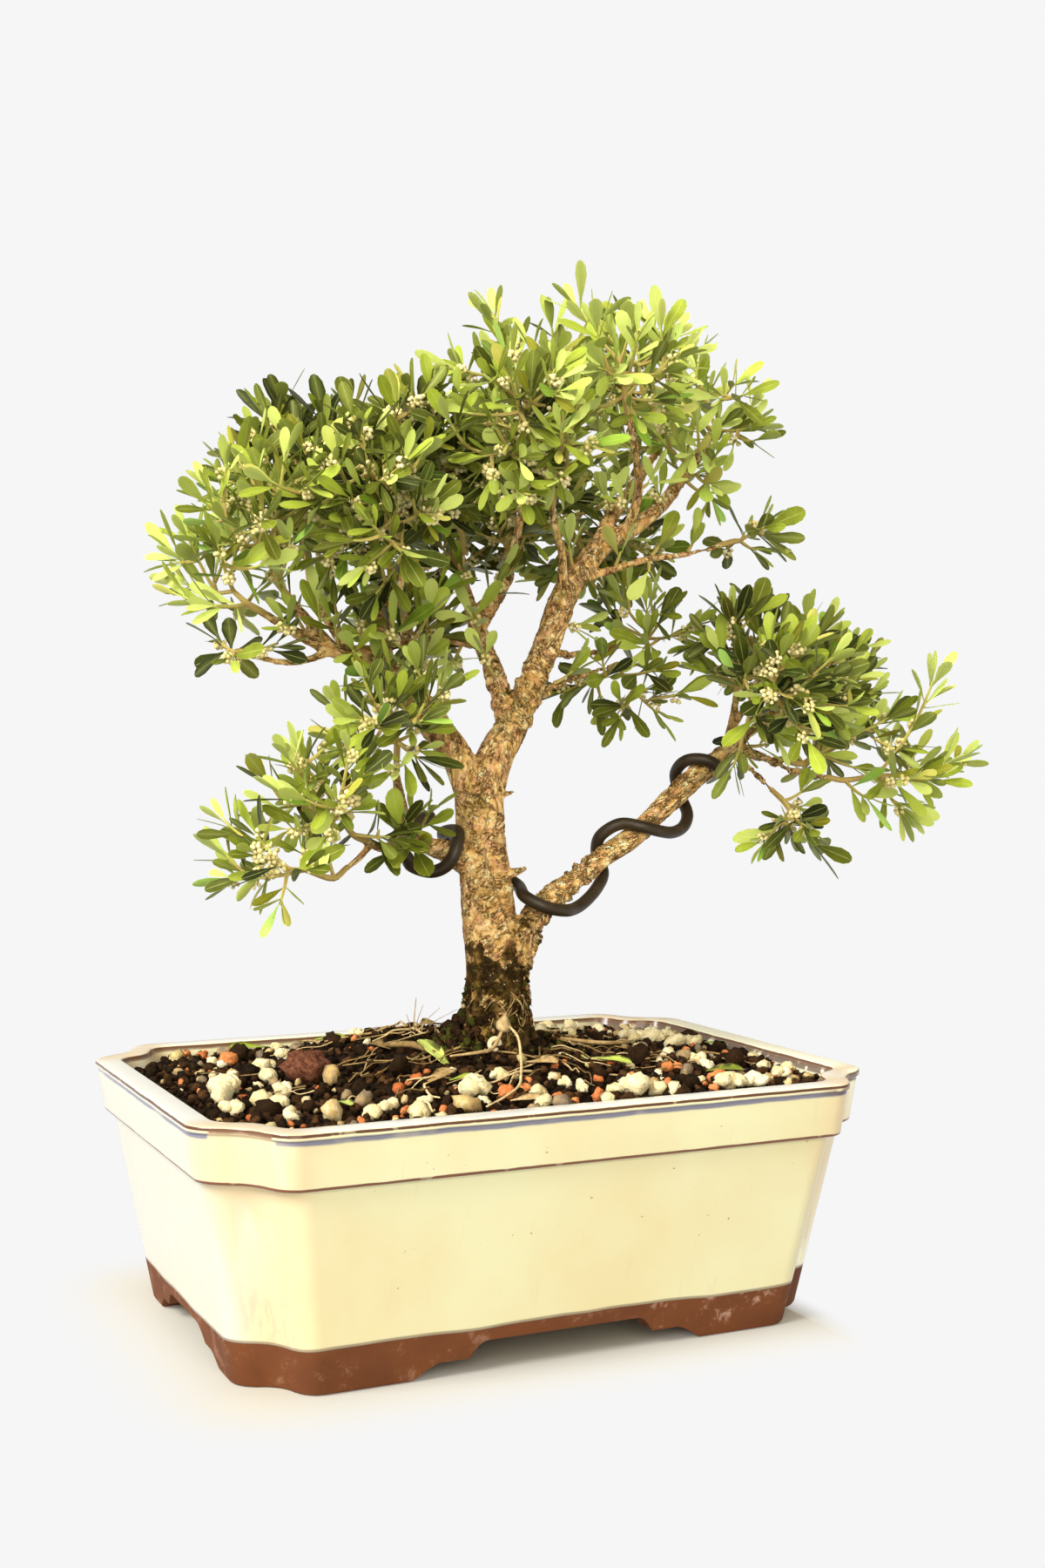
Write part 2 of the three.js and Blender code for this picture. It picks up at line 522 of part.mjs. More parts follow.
// Places along a shoot where a ring is needed: two at each pair of leaves
function shootRings({ line, pairs }) {
  const curve = new THREE.CatmullRomCurve3(line);
  const total = curve.getLength();
  const places = [{ far: -rootSunk }, { far: (total - pairs.length * pairStep) / 2 }];
  [...pairs].reverse().forEach((pair) => {
    const far = total - pair.back;
    places.push({ far: far - nodeHalf, pair }, { far: far + nodeHalf });
  });
  let across = new THREE.Vector3(0.3, 0.2, 1).normalize();
  return places.map(({ far, pair }) => {
    const u = THREE.MathUtils.clamp(far / total, 0, 1);
    const along = curve.getTangentAt(u);
    across = across.clone().addScaledVector(along, -across.dot(along)).normalize();
    const lift = along.clone().cross(across);
    const centre = curve.getPointAt(u).addScaledVector(along, Math.min(far, 0));
    const radius = THREE.MathUtils.lerp(shootRadius, tipRadius, u);
    return { centre, along, across, lift, pair, corners: ringAround(centre, across, lift, radius, 4, () => 0) };
  });
}

// A twig with its leaves, in one skin
function shootSolid(rings) {
  const points = rings.flatMap((ring) => ring.corners);
  const last = rings[rings.length - 1];
  const [low, high] = [points.length, points.length + 1];
  points.push(rings[0].centre, last.centre.clone().addScaledVector(last.along, tipBud));
  const faces = [];
  rings.slice(1).forEach((ring, k) => {
    const { pair, along, across, lift } = rings[k];
    for (let i = 0; i < 4; i += 1) {
      const j = (i + 1) % 4;
      const quad = [k * 4 + i, k * 4 + j, k * 4 + 4 + j, k * 4 + 4 + i];
      if (pair && pair.sides.includes(i)) {
        const turn = (i + 0.5) * (Math.PI / 2);
        const out = across.clone().multiplyScalar(Math.cos(turn)).addScaledVector(lift, Math.sin(turn));
        const root = quad.reduce((sum, q) => sum.addScaledVector(points[q], 0.25), new THREE.Vector3());
        faces.push(...leafFaces(quad, points.length));
        points.push(...leafCorners(root, along, out, along.clone().cross(out), pair.spread, pair.size));
      } else {
        faces.push([quad[0], quad[1], quad[2]], [quad[0], quad[2], quad[3]]);
      }
    }
  });
  const end = (rings.length - 1) * 4;
  for (let i = 0; i < 4; i += 1) {
    faces.push([low, (i + 1) % 4, i], [high, end + i, end + ((i + 1) % 4)]);
  }
  return solidOf(indexed(points, faces));
}

// What already stands, so that nothing is grown through it
const standing = [];

function boxOf(solid) {
  const { min, max } = solid.boundingBox();
  return new THREE.Box3(new THREE.Vector3(...min), new THREE.Vector3(...max));
}

function remember(spray, shoot, solid) {
  standing.push({ spray, shoot, solid, box: boxOf(solid) });
}

// A shoot may touch its own twigs, which it is fused with, but no other spray and no other leaf
function isClear(spray, shoot, solid) {
  const box = boxOf(solid);
  return standing.every((other) => {
    const own = other.spray === spray && (other.shoot === null || other.shoot === shoot);
    if (own || !other.box.intersectsBox(box)) {
      return true;
    }
    const shared = other.solid.intersect(solid);
    const clear = shared.isEmpty();
    shared.delete();
    return clear;
  });
}

// Evenly scattered numbers between 0 and 1
function scattered(index, base) {
  let [value, share, rest] = [0, 1 / base, index];
  while (rest > 0) {
    value += share * (rest % base);
    rest = Math.floor(rest / base);
    share /= base;
  }
  return value;
}

function shootTarget(spray, index) {
  const height = 1 - 2 * scattered(index, 2);
  const turn = scattered(index, 3) * Math.PI * 2;
  const far = 0.72 + 0.28 * scattered(index, 5);
  const ring = Math.sqrt(1 - height * height);
  const [cx, cy, cz] = spray.centre;
  const [rx, ry, rz] = spray.reach;
  return new THREE.Vector3(
    cx + Math.cos(turn) * ring * far * rx,
    cy + Math.sin(turn) * ring * far * ry,
    cz + height * far * rz,
  );
}

// A shoot leaves the nearest place on the twigs so far and bends up to its target
function growShoot(nodes, target) {
  const cost = (node) => node.point.distanceTo(target) + pathWeight * node.path;
  const from = nodes.reduce((best, node) => (cost(node) < cost(best) ? node : best));
  const span = from.point.distanceTo(target);
  const bend = from.point.clone().lerp(target, 0.5);
  bend.z -= span * shootSag;
  const line = new THREE.QuadraticBezierCurve3(from.point, bend, target).getPoints(3);
  return { from, line, span };
}

function growTwigs(name, spray, offset) {
  const branch = limbs[spray.on];
  const [last, before] = [branch[branch.length - 1], branch[branch.length - 2]];
  const end = new THREE.Vector3(...last.slice(0, 3));
  const along = end.clone().sub(new THREE.Vector3(...before.slice(0, 3))).normalize();
  const base = end.clone().addScaledVector(along, gap);
  const centre = new THREE.Vector3(...spray.centre);
  const knee = base.clone().addScaledVector(along, 5);
  const toward = knee.clone().lerp(centre, Math.min(0.5, 14 / knee.distanceTo(centre)));
  const stem = solidOf(sweep([base, knee, toward], [last[3], stemRadius, stemRadius], 4));
  remember(name, null, stem);
  const nodes = [{ point: knee, path: 5 }, { point: toward, path: 5 + knee.distanceTo(toward) }];
  const lines = [];
  for (let i = 1; lines.length < spray.shoots && i < spray.shoots * 6; i += 1) {
    const { from, line, span } = growShoot(nodes, shootTarget(spray, i + offset));
    const twig = solidOf(sweep(line, line.map(() => shootRadius), 4));
    if (span > shootShortest && isClear(name, null, twig)) {
      remember(name, null, twig);
      lines.push(line);
      line.slice(1, 3).forEach((point, k) => nodes.push({ point, path: from.path + (span * (k + 1)) / 3 }));
    }
  }
  return { stem, lines };
}

// Opposite leaves on a shoot, each pair at right angles to the last, left out where there is no room
function growLeaves(name, line, shoot) {
  const span = line[0].distanceTo(line[line.length - 1]);
  const count = Math.min(mostPairs, Math.floor(span / pairStep));
  const pairs = Array.from({ length: count }, (_, i) => ({
    back: nodeHalf * 1.5 + i * pairStep,
    spread: THREE.MathUtils.degToRad(i ? spreadLower : spreadTop),
    size: leaf,
    sides: i % 2 ? [1, 3] : [0, 2],
  }));
  for (const pair of pairs) {
    pair.sides = pair.sides.filter((side) => {
      const alone = { ...pair, sides: [side], size: leafRoom };
      const rings = shootRings({ line, pairs: [alone] }).slice(2);
      const room = shootSolid(rings);
      const clear = isClear(name, shoot, room);
      if (clear) {
        remember(name, shoot, room);
      }
      return clear;
    });
  }
  return shootSolid(shootRings({ line, pairs }));
}

const wood = makeWood();
const wire = makeWire();
remember('wood', null, wood);
remember('wire', null, wire);

const bonsai = new THREE.Group();
bonsai.add(named('pot', makePot(), colours.glaze, 0.15));
bonsai.add(named('soil', makeSoil(), colours.soil, 0.95));
for (const [word, side] of [['left', -1], ['right', 1]]) {
  bonsai.add(named(`drain_mesh_${word}`, makeDrainMesh(side), colours.mesh, 0.6));
  bonsai.add(named(`drain_clip_${word}`, makeDrainClip(side), colours.clip, 0.45, 0.8));
}
bonsai.add(named('trunk_and_branches', wood, colours.bark, 0.9));
bonsai.add(named('training_wire', wire, colours.wire, 0.45, 0.6));

const grown = Object.entries(sprays).map(([name, spray], i) => [name, growTwigs(name, spray, i * 5)]);
for (const [name, { stem, lines }] of grown) {
  const shoots = lines.map((line, i) => growLeaves(name, line, i));
  bonsai.add(named(`spray_${name}`, wasm.Manifold.union([stem, ...shoots]), colours.leaf, 0.5));
}

// Stand the pot where the middle of the whole outline is at the origin
bonsai.position.set(potCentre.x, potCentre.y, 0);
bonsai.updateMatrixWorld(true);

const part = new THREE.Group();
part.add(bonsai);

export default part;
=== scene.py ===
# Boxwood bonsai in a glazed pot: looks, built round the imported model.
# Pieces are modelled in millimetres round the pot's centre and placed in metres at the end.
import math

import bpy
import numpy as np
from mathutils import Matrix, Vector, kdtree, noise


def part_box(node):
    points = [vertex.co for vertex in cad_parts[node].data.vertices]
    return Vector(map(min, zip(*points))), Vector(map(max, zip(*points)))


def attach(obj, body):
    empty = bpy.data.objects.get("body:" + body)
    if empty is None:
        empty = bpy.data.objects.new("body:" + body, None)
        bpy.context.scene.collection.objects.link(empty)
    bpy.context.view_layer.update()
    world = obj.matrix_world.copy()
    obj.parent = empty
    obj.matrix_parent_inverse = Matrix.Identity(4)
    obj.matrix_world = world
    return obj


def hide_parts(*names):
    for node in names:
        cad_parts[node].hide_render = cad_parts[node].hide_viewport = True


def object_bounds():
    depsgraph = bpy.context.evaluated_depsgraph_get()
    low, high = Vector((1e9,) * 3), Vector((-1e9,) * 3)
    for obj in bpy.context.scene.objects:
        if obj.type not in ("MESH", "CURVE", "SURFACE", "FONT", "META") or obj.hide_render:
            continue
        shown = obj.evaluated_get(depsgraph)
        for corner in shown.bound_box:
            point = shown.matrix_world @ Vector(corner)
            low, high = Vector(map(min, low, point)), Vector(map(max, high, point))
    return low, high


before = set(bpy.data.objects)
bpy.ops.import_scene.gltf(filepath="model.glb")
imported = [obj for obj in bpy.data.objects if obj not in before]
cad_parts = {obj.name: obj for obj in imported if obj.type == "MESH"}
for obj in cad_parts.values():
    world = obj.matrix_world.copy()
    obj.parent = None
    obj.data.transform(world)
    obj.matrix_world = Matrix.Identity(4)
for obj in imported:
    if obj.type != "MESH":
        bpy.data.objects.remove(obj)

cadLow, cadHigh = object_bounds()
mm = 0.001
potLow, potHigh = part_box("pot")
potCentre = np.array([(potLow.x + potHigh.x) / 2, (potLow.y + potHigh.y) / 2, 0.0])
potMiddle = potCentre.tolist()


# Small tools
def drawFrom(seed):
    # numbers from 0 to 1, the same each run
    state = seed % 4294967296
    while True:
        state = (state * 1664525 + 1013904223) % 4294967296
        yield state / 4294967296


def unit(v):
    return v / max(np.linalg.norm(v), 1e-9)


def addPiece(name, points, faces, materials, faceMaterials=None, values=None, uv=None):
    mesh = bpy.data.meshes.new(name)
    places = np.asarray(points, float) * mm + potCentre
    mesh.from_pydata(places.tolist(), [], [tuple(f) for f in faces])
    for material in materials:
        mesh.materials.append(material)
    if faceMaterials is not None:
        mesh.polygons.foreach_set("material_index", np.asarray(faceMaterials, np.int32))
    mesh.polygons.foreach_set("use_smooth", np.full(len(mesh.polygons), True))
    for key, data in (values or {}).items():
        mesh.attributes.new(key, "FLOAT", "POINT").data.foreach_set("value", np.asarray(data, np.float32))
    if uv is not None:
        corners = np.zeros(len(mesh.loops), np.int32)
        mesh.loops.foreach_get("vertex_index", corners)
        layer = mesh.uv_layers.new(name="UVMap")
        layer.data.foreach_set("uv", np.asarray(uv, np.float32)[corners].ravel())
    mesh.update()
    piece = bpy.data.objects.new(name, mesh)
    bpy.context.scene.collection.objects.link(piece)
    return piece


def pick(piece):
    # only this piece selected and active
    bpy.ops.object.select_all(action="DESELECT")
    bpy.context.view_layer.objects.active = piece
    piece.select_set(True)


def applyAll(piece):
    pick(piece)
    for modifier in list(piece.modifiers):
        bpy.ops.object.modifier_apply(modifier=modifier.name)


def finishPiece(piece, slot, *nodes):
    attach(piece, "root")
    if nodes:
        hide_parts(*nodes)
    return piece


class Pile:
    # many small shapes gathered into one mesh
    def __init__(self):
        self.points, self.faces, self.materials, self.uv, self.tone, self.side = [], [], [], [], [], []
        self.count = 0

    def add(self, points, faces, material=0, uv=None, tone=0.5, side=0.0):
        n, count = len(points), self.count
        self.points.append(points)
        for face in sorted(faces, key=lambda face: len(face) != 4):
            self.faces.append([i + count for i in face])
        self.materials.extend([material] * len(faces))
        self.uv.append(np.zeros((n, 2)) if uv is None else uv)
        self.tone.append(np.full(n, tone) if np.isscalar(tone) else tone)
        self.side.append(np.full(n, side) if np.isscalar(side) else side)
        self.count += n

    def piece(self, name, materials):
        return addPiece(name, np.vstack(self.points), self.faces, materials, self.materials,
                        {"tone": np.concatenate(self.tone), "under": np.concatenate(self.side)},
                        np.vstack(self.uv))


# Curves, the same as the construction's: centripetal, through every point
def smoothLine(points, steps):
    pts = np.asarray(points, float)
    pts = np.vstack([2 * pts[0] - pts[1], pts, 2 * pts[-1] - pts[-2]])
    line = []
    for i in range(1, len(pts) - 2):
        p0, p1, p2, p3 = pts[i - 1:i + 3]
        gaps = [max(np.linalg.norm(b - a) ** 0.5, 1e-4) for a, b in ((p0, p1), (p1, p2), (p2, p3))]
        before, here, after = gaps
        t1 = ((p1 - p0) / before - (p2 - p0) / (before + here) + (p2 - p1) / here) * here
        t2 = ((p2 - p1) / here - (p3 - p1) / (here + after) + (p3 - p2) / after) * here
        for k in range(steps):
            t = k / steps
            line.append(p1 + t1 * t + (3 * (p2 - p1) - 2 * t1 - t2) * t ** 2
                        + (2 * (p1 - p2) + t1 + t2) * t ** 3)
    line.append(pts[-2])
    return np.array(line)


def lengthsAlong(line):
    return np.concatenate([[0], np.cumsum(np.linalg.norm(np.diff(line[:, :3], axis=0), axis=1))])


def respace(line, step):
    lengths = lengthsAlong(line)
    count = max(int(math.ceil(lengths[-1] / step)), 2)
    at = np.linspace(0, lengths[-1], count + 1)
    return np.stack([np.interp(at, lengths, line[:, k]) for k in range(line.shape[1])], axis=1)


def framesAlong(line, across=(0.0, 1.0, 0.0)):
    tangents = np.gradient(line, axis=0)
    across = np.array(across, float)
    frames = []
    for tangent in tangents:
        along = unit(tangent)
        if abs(along @ across) > 0.95:
            across = np.array([1.0, 0.0, 0.0])
        across = unit(across - along * (across @ along))
        frames.append((along, across, np.cross(along, across)))
    return frames


def tube(line, radii, sides, bud=0.0):
    # rings and two closed ends; returns points and faces
    line = np.asarray(line, float)
    turns = np.arange(sides) / sides * 2 * math.pi
    points, faces = [], []
    frames = framesAlong(line)
    for centre, radius, (along, side, lift) in zip(line, radii, frames):
        points.append(centre + radius * (np.cos(turns)[:, None] * side + np.sin(turns)[:, None] * lift))
    count = len(line)
    points = np.vstack(points + [[line[0] - frames[0][0] * bud], [line[-1] + frames[-1][0] * bud]])
    low, high = count * sides, count * sides + 1
    for i in range(sides):
        j = (i + 1) % sides
        faces += [[k * sides + i, k * sides + j, (k + 1) * sides + j, (k + 1) * sides + i]
                  for k in range(count - 1)]
        faces += [[low, j, i], [high, (count - 1) * sides + i, (count - 1) * sides + j]]
    return points, faces


# Node trees
def addNode(tree, kind, inputs=None, **settings):
    made = tree.nodes.new("ShaderNode" + kind)
    for key, value in settings.items():
        setattr(made, key, value)
    for key, value in (inputs or {}).items():
        if isinstance(value, bpy.types.NodeSocket):
            tree.links.new(value, made.inputs[key])
        else:
            made.inputs[key].default_value = value
    return made


def calc(tree, operation, a, b=0.0, clamp=False):
    return addNode(tree, "Math", {0: a, 1: b}, operation=operation, use_clamp=clamp).outputs[0]


def times(tree, a, b, clamp=False):
    return calc(tree, "MULTIPLY", a, b, clamp)


def plus(tree, a, b, clamp=False):
    return calc(tree, "ADD", a, b, clamp)


def minus(tree, a, b):
    return calc(tree, "SUBTRACT", a, b)


def vectorCalc(tree, operation, a, b, output=0):
    return addNode(tree, "VectorMath", {0: a, 1: b}, operation=operation).outputs[output]


def stretchedTo(tree, place, scale):
    return addNode(tree, "Mapping", {"Vector": place, "Scale": scale}).outputs[0]


def blendColours(tree, share, a, b, how="MIX"):
    made = addNode(tree, "Mix", {0: share}, data_type="RGBA", blend_type=how)
    for socket, value in ((made.inputs[6], a), (made.inputs[7], b)):
        if isinstance(value, bpy.types.NodeSocket):
            tree.links.new(value, socket)
        else:
            socket.default_value = (*value, 1)
    return made.outputs[2]


def rampOf(tree, share, stops):
    made = addNode(tree, "ValToRGB", {0: share})
    ramp = made.color_ramp
    while len(ramp.elements) < len(stops):
        ramp.elements.new(0.5)
    for element, (place, colour) in zip(ramp.elements, stops):
        element.position = place
        element.color = (*colour, 1)
    return made.outputs[0]


def between(tree, value, low, high):
    # 0 at low, 1 at high
    limits = {0: value, 1: low, 2: high, 3: 0.0, 4: 1.0}
    return addNode(tree, "MapRange", limits, interpolation_type="SMOOTHSTEP").outputs[0]


def bandAt(tree, value, middle, half):
    away = calc(tree, "ABSOLUTE", minus(tree, value, middle))
    return between(tree, away, half, half * 0.35)


def noiseAt(tree, place, scale, detail=3.0, roughness=0.55, output="Fac"):
    inputs = {"Vector": place, "Scale": scale, "Detail": detail, "Roughness": roughness}
    return addNode(tree, "TexNoise", inputs).outputs[output]


def wavering(tree, place, scale, detail, reach, roughness=0.55):
    # noise that swings to either side of nothing
    return times(tree, minus(tree, noiseAt(tree, place, scale, detail, roughness), 0.5), reach)


def tint(tree, base, colour, mask, strength, how="MIX"):
    # the colour over the base, as strong as the mask
    return blendColours(tree, times(tree, mask, strength), base, colour, how)


def newMaterial(name, **sockets):
    material = bpy.data.materials.new(name)
    material.use_nodes = True
    shader = material.node_tree.nodes["Principled BSDF"]
    for key, value in sockets.items():
        shader.inputs[key.replace("_", " ")].default_value = value
    return material, material.node_tree, shader


def placeOf(tree):
    return addNode(tree, "TexCoord").outputs["Object"]


def bumpOf(tree, shader, height, distance, strength=1.0):
    made = addNode(tree, "Bump", {"Height": height, "Strength": strength, "Distance": distance})
    tree.links.new(made.outputs[0], shader.inputs["Normal"])


def valueOf(tree, name, output="Fac"):
    return addNode(tree, "Attribute", attribute_name=name).outputs[output]


def heightOf(tree, place):
    # height over the table in millimetres
    axes = addNode(tree, "SeparateXYZ", {0: place})
    return times(tree, axes.outputs["Z"], 1000.0)


def awayFromMiddle(tree, axes, k):
    return calc(tree, "ABSOLUTE", minus(tree, axes.outputs[k], potMiddle[k]))


def rightOf(tree, value, limits):
    # limits in metres from the pot's middle
    return between(tree, value, potMiddle[0] + limits[0], potMiddle[0] + limits[1])


# Finishes
def makeGlaze(look):
    material, tree, shader = newMaterial("glaze", Roughness=look["gloss"], Specular_IOR_Level=0.32)
    place = placeOf(tree)
    axes = addNode(tree, "SeparateXYZ", {0: place})
    height = heightOf(tree, place)
    cloud = noiseAt(tree, place, 22.0, 4.0)
    cream = rampOf(tree, cloud, [(0.35, look["creamDeep"]), (0.65, look["cream"])])
    downward = stretchedTo(tree, place, (1.0, 1.0, 0.12))
    runs = between(tree, noiseAt(tree, downward, 190.0, 2.0), 0.62, 0.74)
    cream = tint(tree, cream, look["run"], runs, 0.18)
    freckles = between(tree, noiseAt(tree, place, 420.0, 2.0), 0.735, 0.775)
    cream = tint(tree, cream, look["freckle"], freckles, 0.75)
    # painted highlight: the left end is painted paler and whiter where the strong light falls on that face
    cream = tint(tree, cream, look["fired"], rightOf(tree, axes.outputs["X"], look["firedFrom"]), 0.85)
    # painted highlight: the rim's flat top is painted near white where the light from above falls on it
    cream = tint(tree, cream, look["top"], between(tree, height, *look["paintedHighlightTopFrom"]), 0.9)
    # painted highlight: the right end is painted paler, its edge leaning with height
    leaning = minus(tree, axes.outputs["X"], times(tree, height, look["endLean"]))
    cream = tint(tree, cream, look["paintedHighlightRight"], rightOf(tree, leaning, look["paintedHighlightRightFrom"]), 0.9)
    # warmer, darker glaze down the four corners, partly the glaze's own colour and partly painted shade in
    # the corners' hollows, and grey drips down them
    beside = [awayFromMiddle(tree, axes, k) for k in (0, 1)]
    nearCorner = between(tree, beside[0], *look["cornerX"])
    nearCorner = times(tree, nearCorner, between(tree, beside[1], *look["cornerY"]))
    streaks = between(tree, noiseAt(tree, downward, 430.0, 3.0), 0.48, 0.62)
    low = between(tree, height, *look["dripsFrom"])
    drips = times(tree, nearCorner, times(tree, streaks, low))
    warmedAndShaded = times(tree, nearCorner, between(tree, noiseAt(tree, downward, 70.0, 2.0), 0.26, 0.5))
    cream = tint(tree, cream, look["warmAndShade"], warmedAndShaded, 0.85)
    cream = tint(tree, cream, look["drip"], drips, 0.5)
    # lines where the glaze breaks over an edge, gone on the rim's flat top
    broken = between(tree, noiseAt(tree, place, 150.0, 3.0), 0.3, 0.52)
    pooled = between(tree, noiseAt(tree, place, 34.0, 3.0), 0.24, 0.5)
    inside = between(tree, beside[0], *look["insideX"])
    inside = times(tree, inside, between(tree, beside[1], *look["insideY"]))
    outside = minus(tree, 1.0, inside)
    offTop = between(tree, height, *look["offTop"])
    for level, half, colour, share, pooling in look["lines"]:
        wander = wavering(tree, place, 60.0, 3.0, 0.9 * half)
        line = times(tree, bandAt(tree, plus(tree, height, wander), level, half), offTop)
        line = times(tree, line, outside if pooling else 1.0)
        worn = plus(tree, times(tree, pooled if pooling else broken, 0.75), 0.5 - 0.25 * pooling)
        cream = blendColours(tree, times(tree, line, times(tree, worn, share), True), cream, colour)
    inside = times(tree, times(tree, inside, bandAt(tree, height, *look["innerLine"])), offTop)
    cream = tint(tree, cream, look["inner"], inside, plus(tree, 0.62, times(tree, broken, 0.25)))
    # a burnt place under the lip at the right-hand corner
    burnt = times(tree, bandAt(tree, height, *look["burntLine"]), rightOf(tree, leaning, look["burntFrom"]))
    burnt = times(tree, burnt, between(tree, broken, 0.2, 0.7))
    cream = tint(tree, cream, look["burnt"], burnt, 0.9)
    # the glaze ends above the feet in a wavy edge
    edge = plus(tree, height, wavering(tree, place, 17.0, 2.0, look["edgeWave"]))
    edge = minus(tree, edge, look["glazeEdge"])
    cream = tint(tree, cream, look["edgeLine"], bandAt(tree, edge, 0.35, 0.8), 0.75)
    clayTone = rampOf(tree, noiseAt(tree, place, 60.0, 5.0), [(0.3, look["clayDark"]), (0.7, look["clay"])])
    scuffs = between(tree, noiseAt(tree, place, 120.0, 6.0, 0.8), 0.55, 0.68)
    rubbed = rightOf(tree, axes.outputs["X"], look["rubbedFrom"])
    rubbed = times(tree, rubbed, between(tree, height, 3.0, 6.0))
    clayTone = tint(tree, clayTone, look["scuff"], scuffs, plus(tree, 0.25, times(tree, rubbed, 0.45)))
    glazed = between(tree, edge, -0.15, 0.25)
    tree.links.new(blendColours(tree, glazed, clayTone, cream), shader.inputs["Base Color"])
    rough = addNode(tree, "MapRange", {0: glazed, 3: 0.8, 4: look["gloss"]}).outputs[0]
    tree.links.new(rough, shader.inputs["Roughness"])
    grit = times(tree, noiseAt(tree, place, 900.0, 4.0), minus(tree, 1.0, glazed))
    soft = times(tree, noiseAt(tree, place, 28.0, 2.0), 1.2)
    relief = plus(tree, plus(tree, times(tree, grit, 0.5), soft), glazed)
    bumpOf(tree, shader, relief, 0.0003, 0.6)
    return material


def makeBark(look):
    material, tree, shader = newMaterial("bark", Roughness=0.9, Specular_IOR_Level=0.06)
    place = placeOf(tree)
    crack = valueOf(tree, "crack")
    height = heightOf(tree, place)
    # the piece's own value holds each point's place in its limb, laid out straight, in millimetres
    straight = valueOf(tree, "straight", "Vector")
    warp = noiseAt(tree, straight, 0.4, 4.0, 0.6, "Color")
    warp = vectorCalc(tree, "SUBTRACT", warp, (0.5, 0.5, 0.5))
    bent = vectorCalc(tree, "ADD", straight, vectorCalc(tree, "MULTIPLY", warp, look["warp"]))
    laid = stretchedTo(tree, bent, (1 / look["across"], 1 / look["across"], 1 / look["along"]))
    cell = {"Vector": laid, "Scale": 1.0}
    gaps = addNode(tree, "TexVoronoi", cell, feature="DISTANCE_TO_EDGE").outputs["Distance"]
    cells = addNode(tree, "TexVoronoi", cell)
    cellTone = addNode(tree, "SeparateColor", {0: cells.outputs["Color"]})
    # each flake is tipped its own way, and the tilt also paints one side of it lighter and the other
    # darker: painted light and shade
    offset = vectorCalc(tree, "SUBTRACT", laid, cells.outputs["Position"])
    aim = vectorCalc(tree, "SUBTRACT", cells.outputs["Color"], (0.5, 0.5, 0.5))
    tiltAndShade = vectorCalc(tree, "DOT_PRODUCT", offset, aim, "Value")
    grain = stretchedTo(tree, bent, (1.0, 1.0, 0.2))
    fibres = noiseAt(tree, grain, 1.3, 5.0, 0.7)
    fine = noiseAt(tree, grain, 4.2, 4.0, 0.7)
    broad = noiseAt(tree, place, 110.0, 4.0)
    torn = between(tree, noiseAt(tree, place, 260.0, 3.0), 0.38, 0.56)
    # long fissures that run along the limb, and the short ends of the flakes between them
    fissures = noiseAt(tree, stretchedTo(tree, bent, (1.0, 1.0, 0.17)), 0.75, 4.0, 0.62)
    fissures = between(tree, calc(tree, "ABSOLUTE", minus(tree, fissures, 0.5)), 0.046, 0.01)
    seam = calc(tree, "MAXIMUM", fissures, times(tree, between(tree, gaps, 0.05, 0.0), 0.75))
    seam = times(tree, seam, torn)
    share = plus(tree, times(tree, cellTone.outputs[0], 0.2), times(tree, broad, 0.26))
    share = plus(tree, share, times(tree, fibres, 0.5))
    # painted light and shade across each flake
    share = plus(tree, share, times(tree, tiltAndShade, 0.6))
    tan = rampOf(tree, share, look["plates"])
    tan = tint(tree, tan, look["pale"], between(tree, fine, 0.54, 0.66), 0.5)
    tan = tint(tree, tan, look["pink"], between(tree, cellTone.outputs[1], 0.58, 0.8), 0.5)
    green = between(tree, noiseAt(tree, place, 75.0, 4.0), 0.52, 0.66)
    tan = tint(tree, tan, look["olive"], green, 0.4)
    # dark cracks, fissures and low fibres: partly the bark's own dark cracks, partly painted shade under
    # the flakes' edges
    cracksAndShade = times(tree, between(tree, fibres, 0.4, 0.3), 0.55)
    for dark in (times(tree, between(tree, fine, 0.36, 0.28), 0.5), seam,
                 times(tree, between(tree, crack, 0.5, 1.0), torn)):
        cracksAndShade = calc(tree, "MAXIMUM", cracksAndShade, dark)
    bark = tint(tree, tan, look["crack"], cracksAndShade, 0.9)
    # the foot is damp, up to a ragged edge
    patches = wavering(tree, place, 85.0, 4.0, look["dampPatch"])
    damp = between(tree, plus(tree, height, patches), look["dampTop"], look["dampFull"])
    crumbly = wavering(tree, place, 380.0, 4.0, 9.0, 0.65)
    damp = plus(tree, times(tree, minus(tree, damp, 0.5), 3.4), crumbly)
    damp = plus(tree, damp, 0.5, True)
    soaked = rampOf(tree, noiseAt(tree, place, 190.0, 5.0, 0.6), look["damp"])
    tree.links.new(tint(tree, bark, soaked, damp, 0.95), shader.inputs["Base Color"])
    relief = plus(tree, times(tree, fibres, 1.2), times(tree, fine, 0.35))
    relief = minus(tree, relief, times(tree, seam, 0.8))
    relief = plus(tree, relief, times(tree, tiltAndShade, 1.8))
    bumpOf(tree, shader, relief, 0.0008, 1.0)
    return material


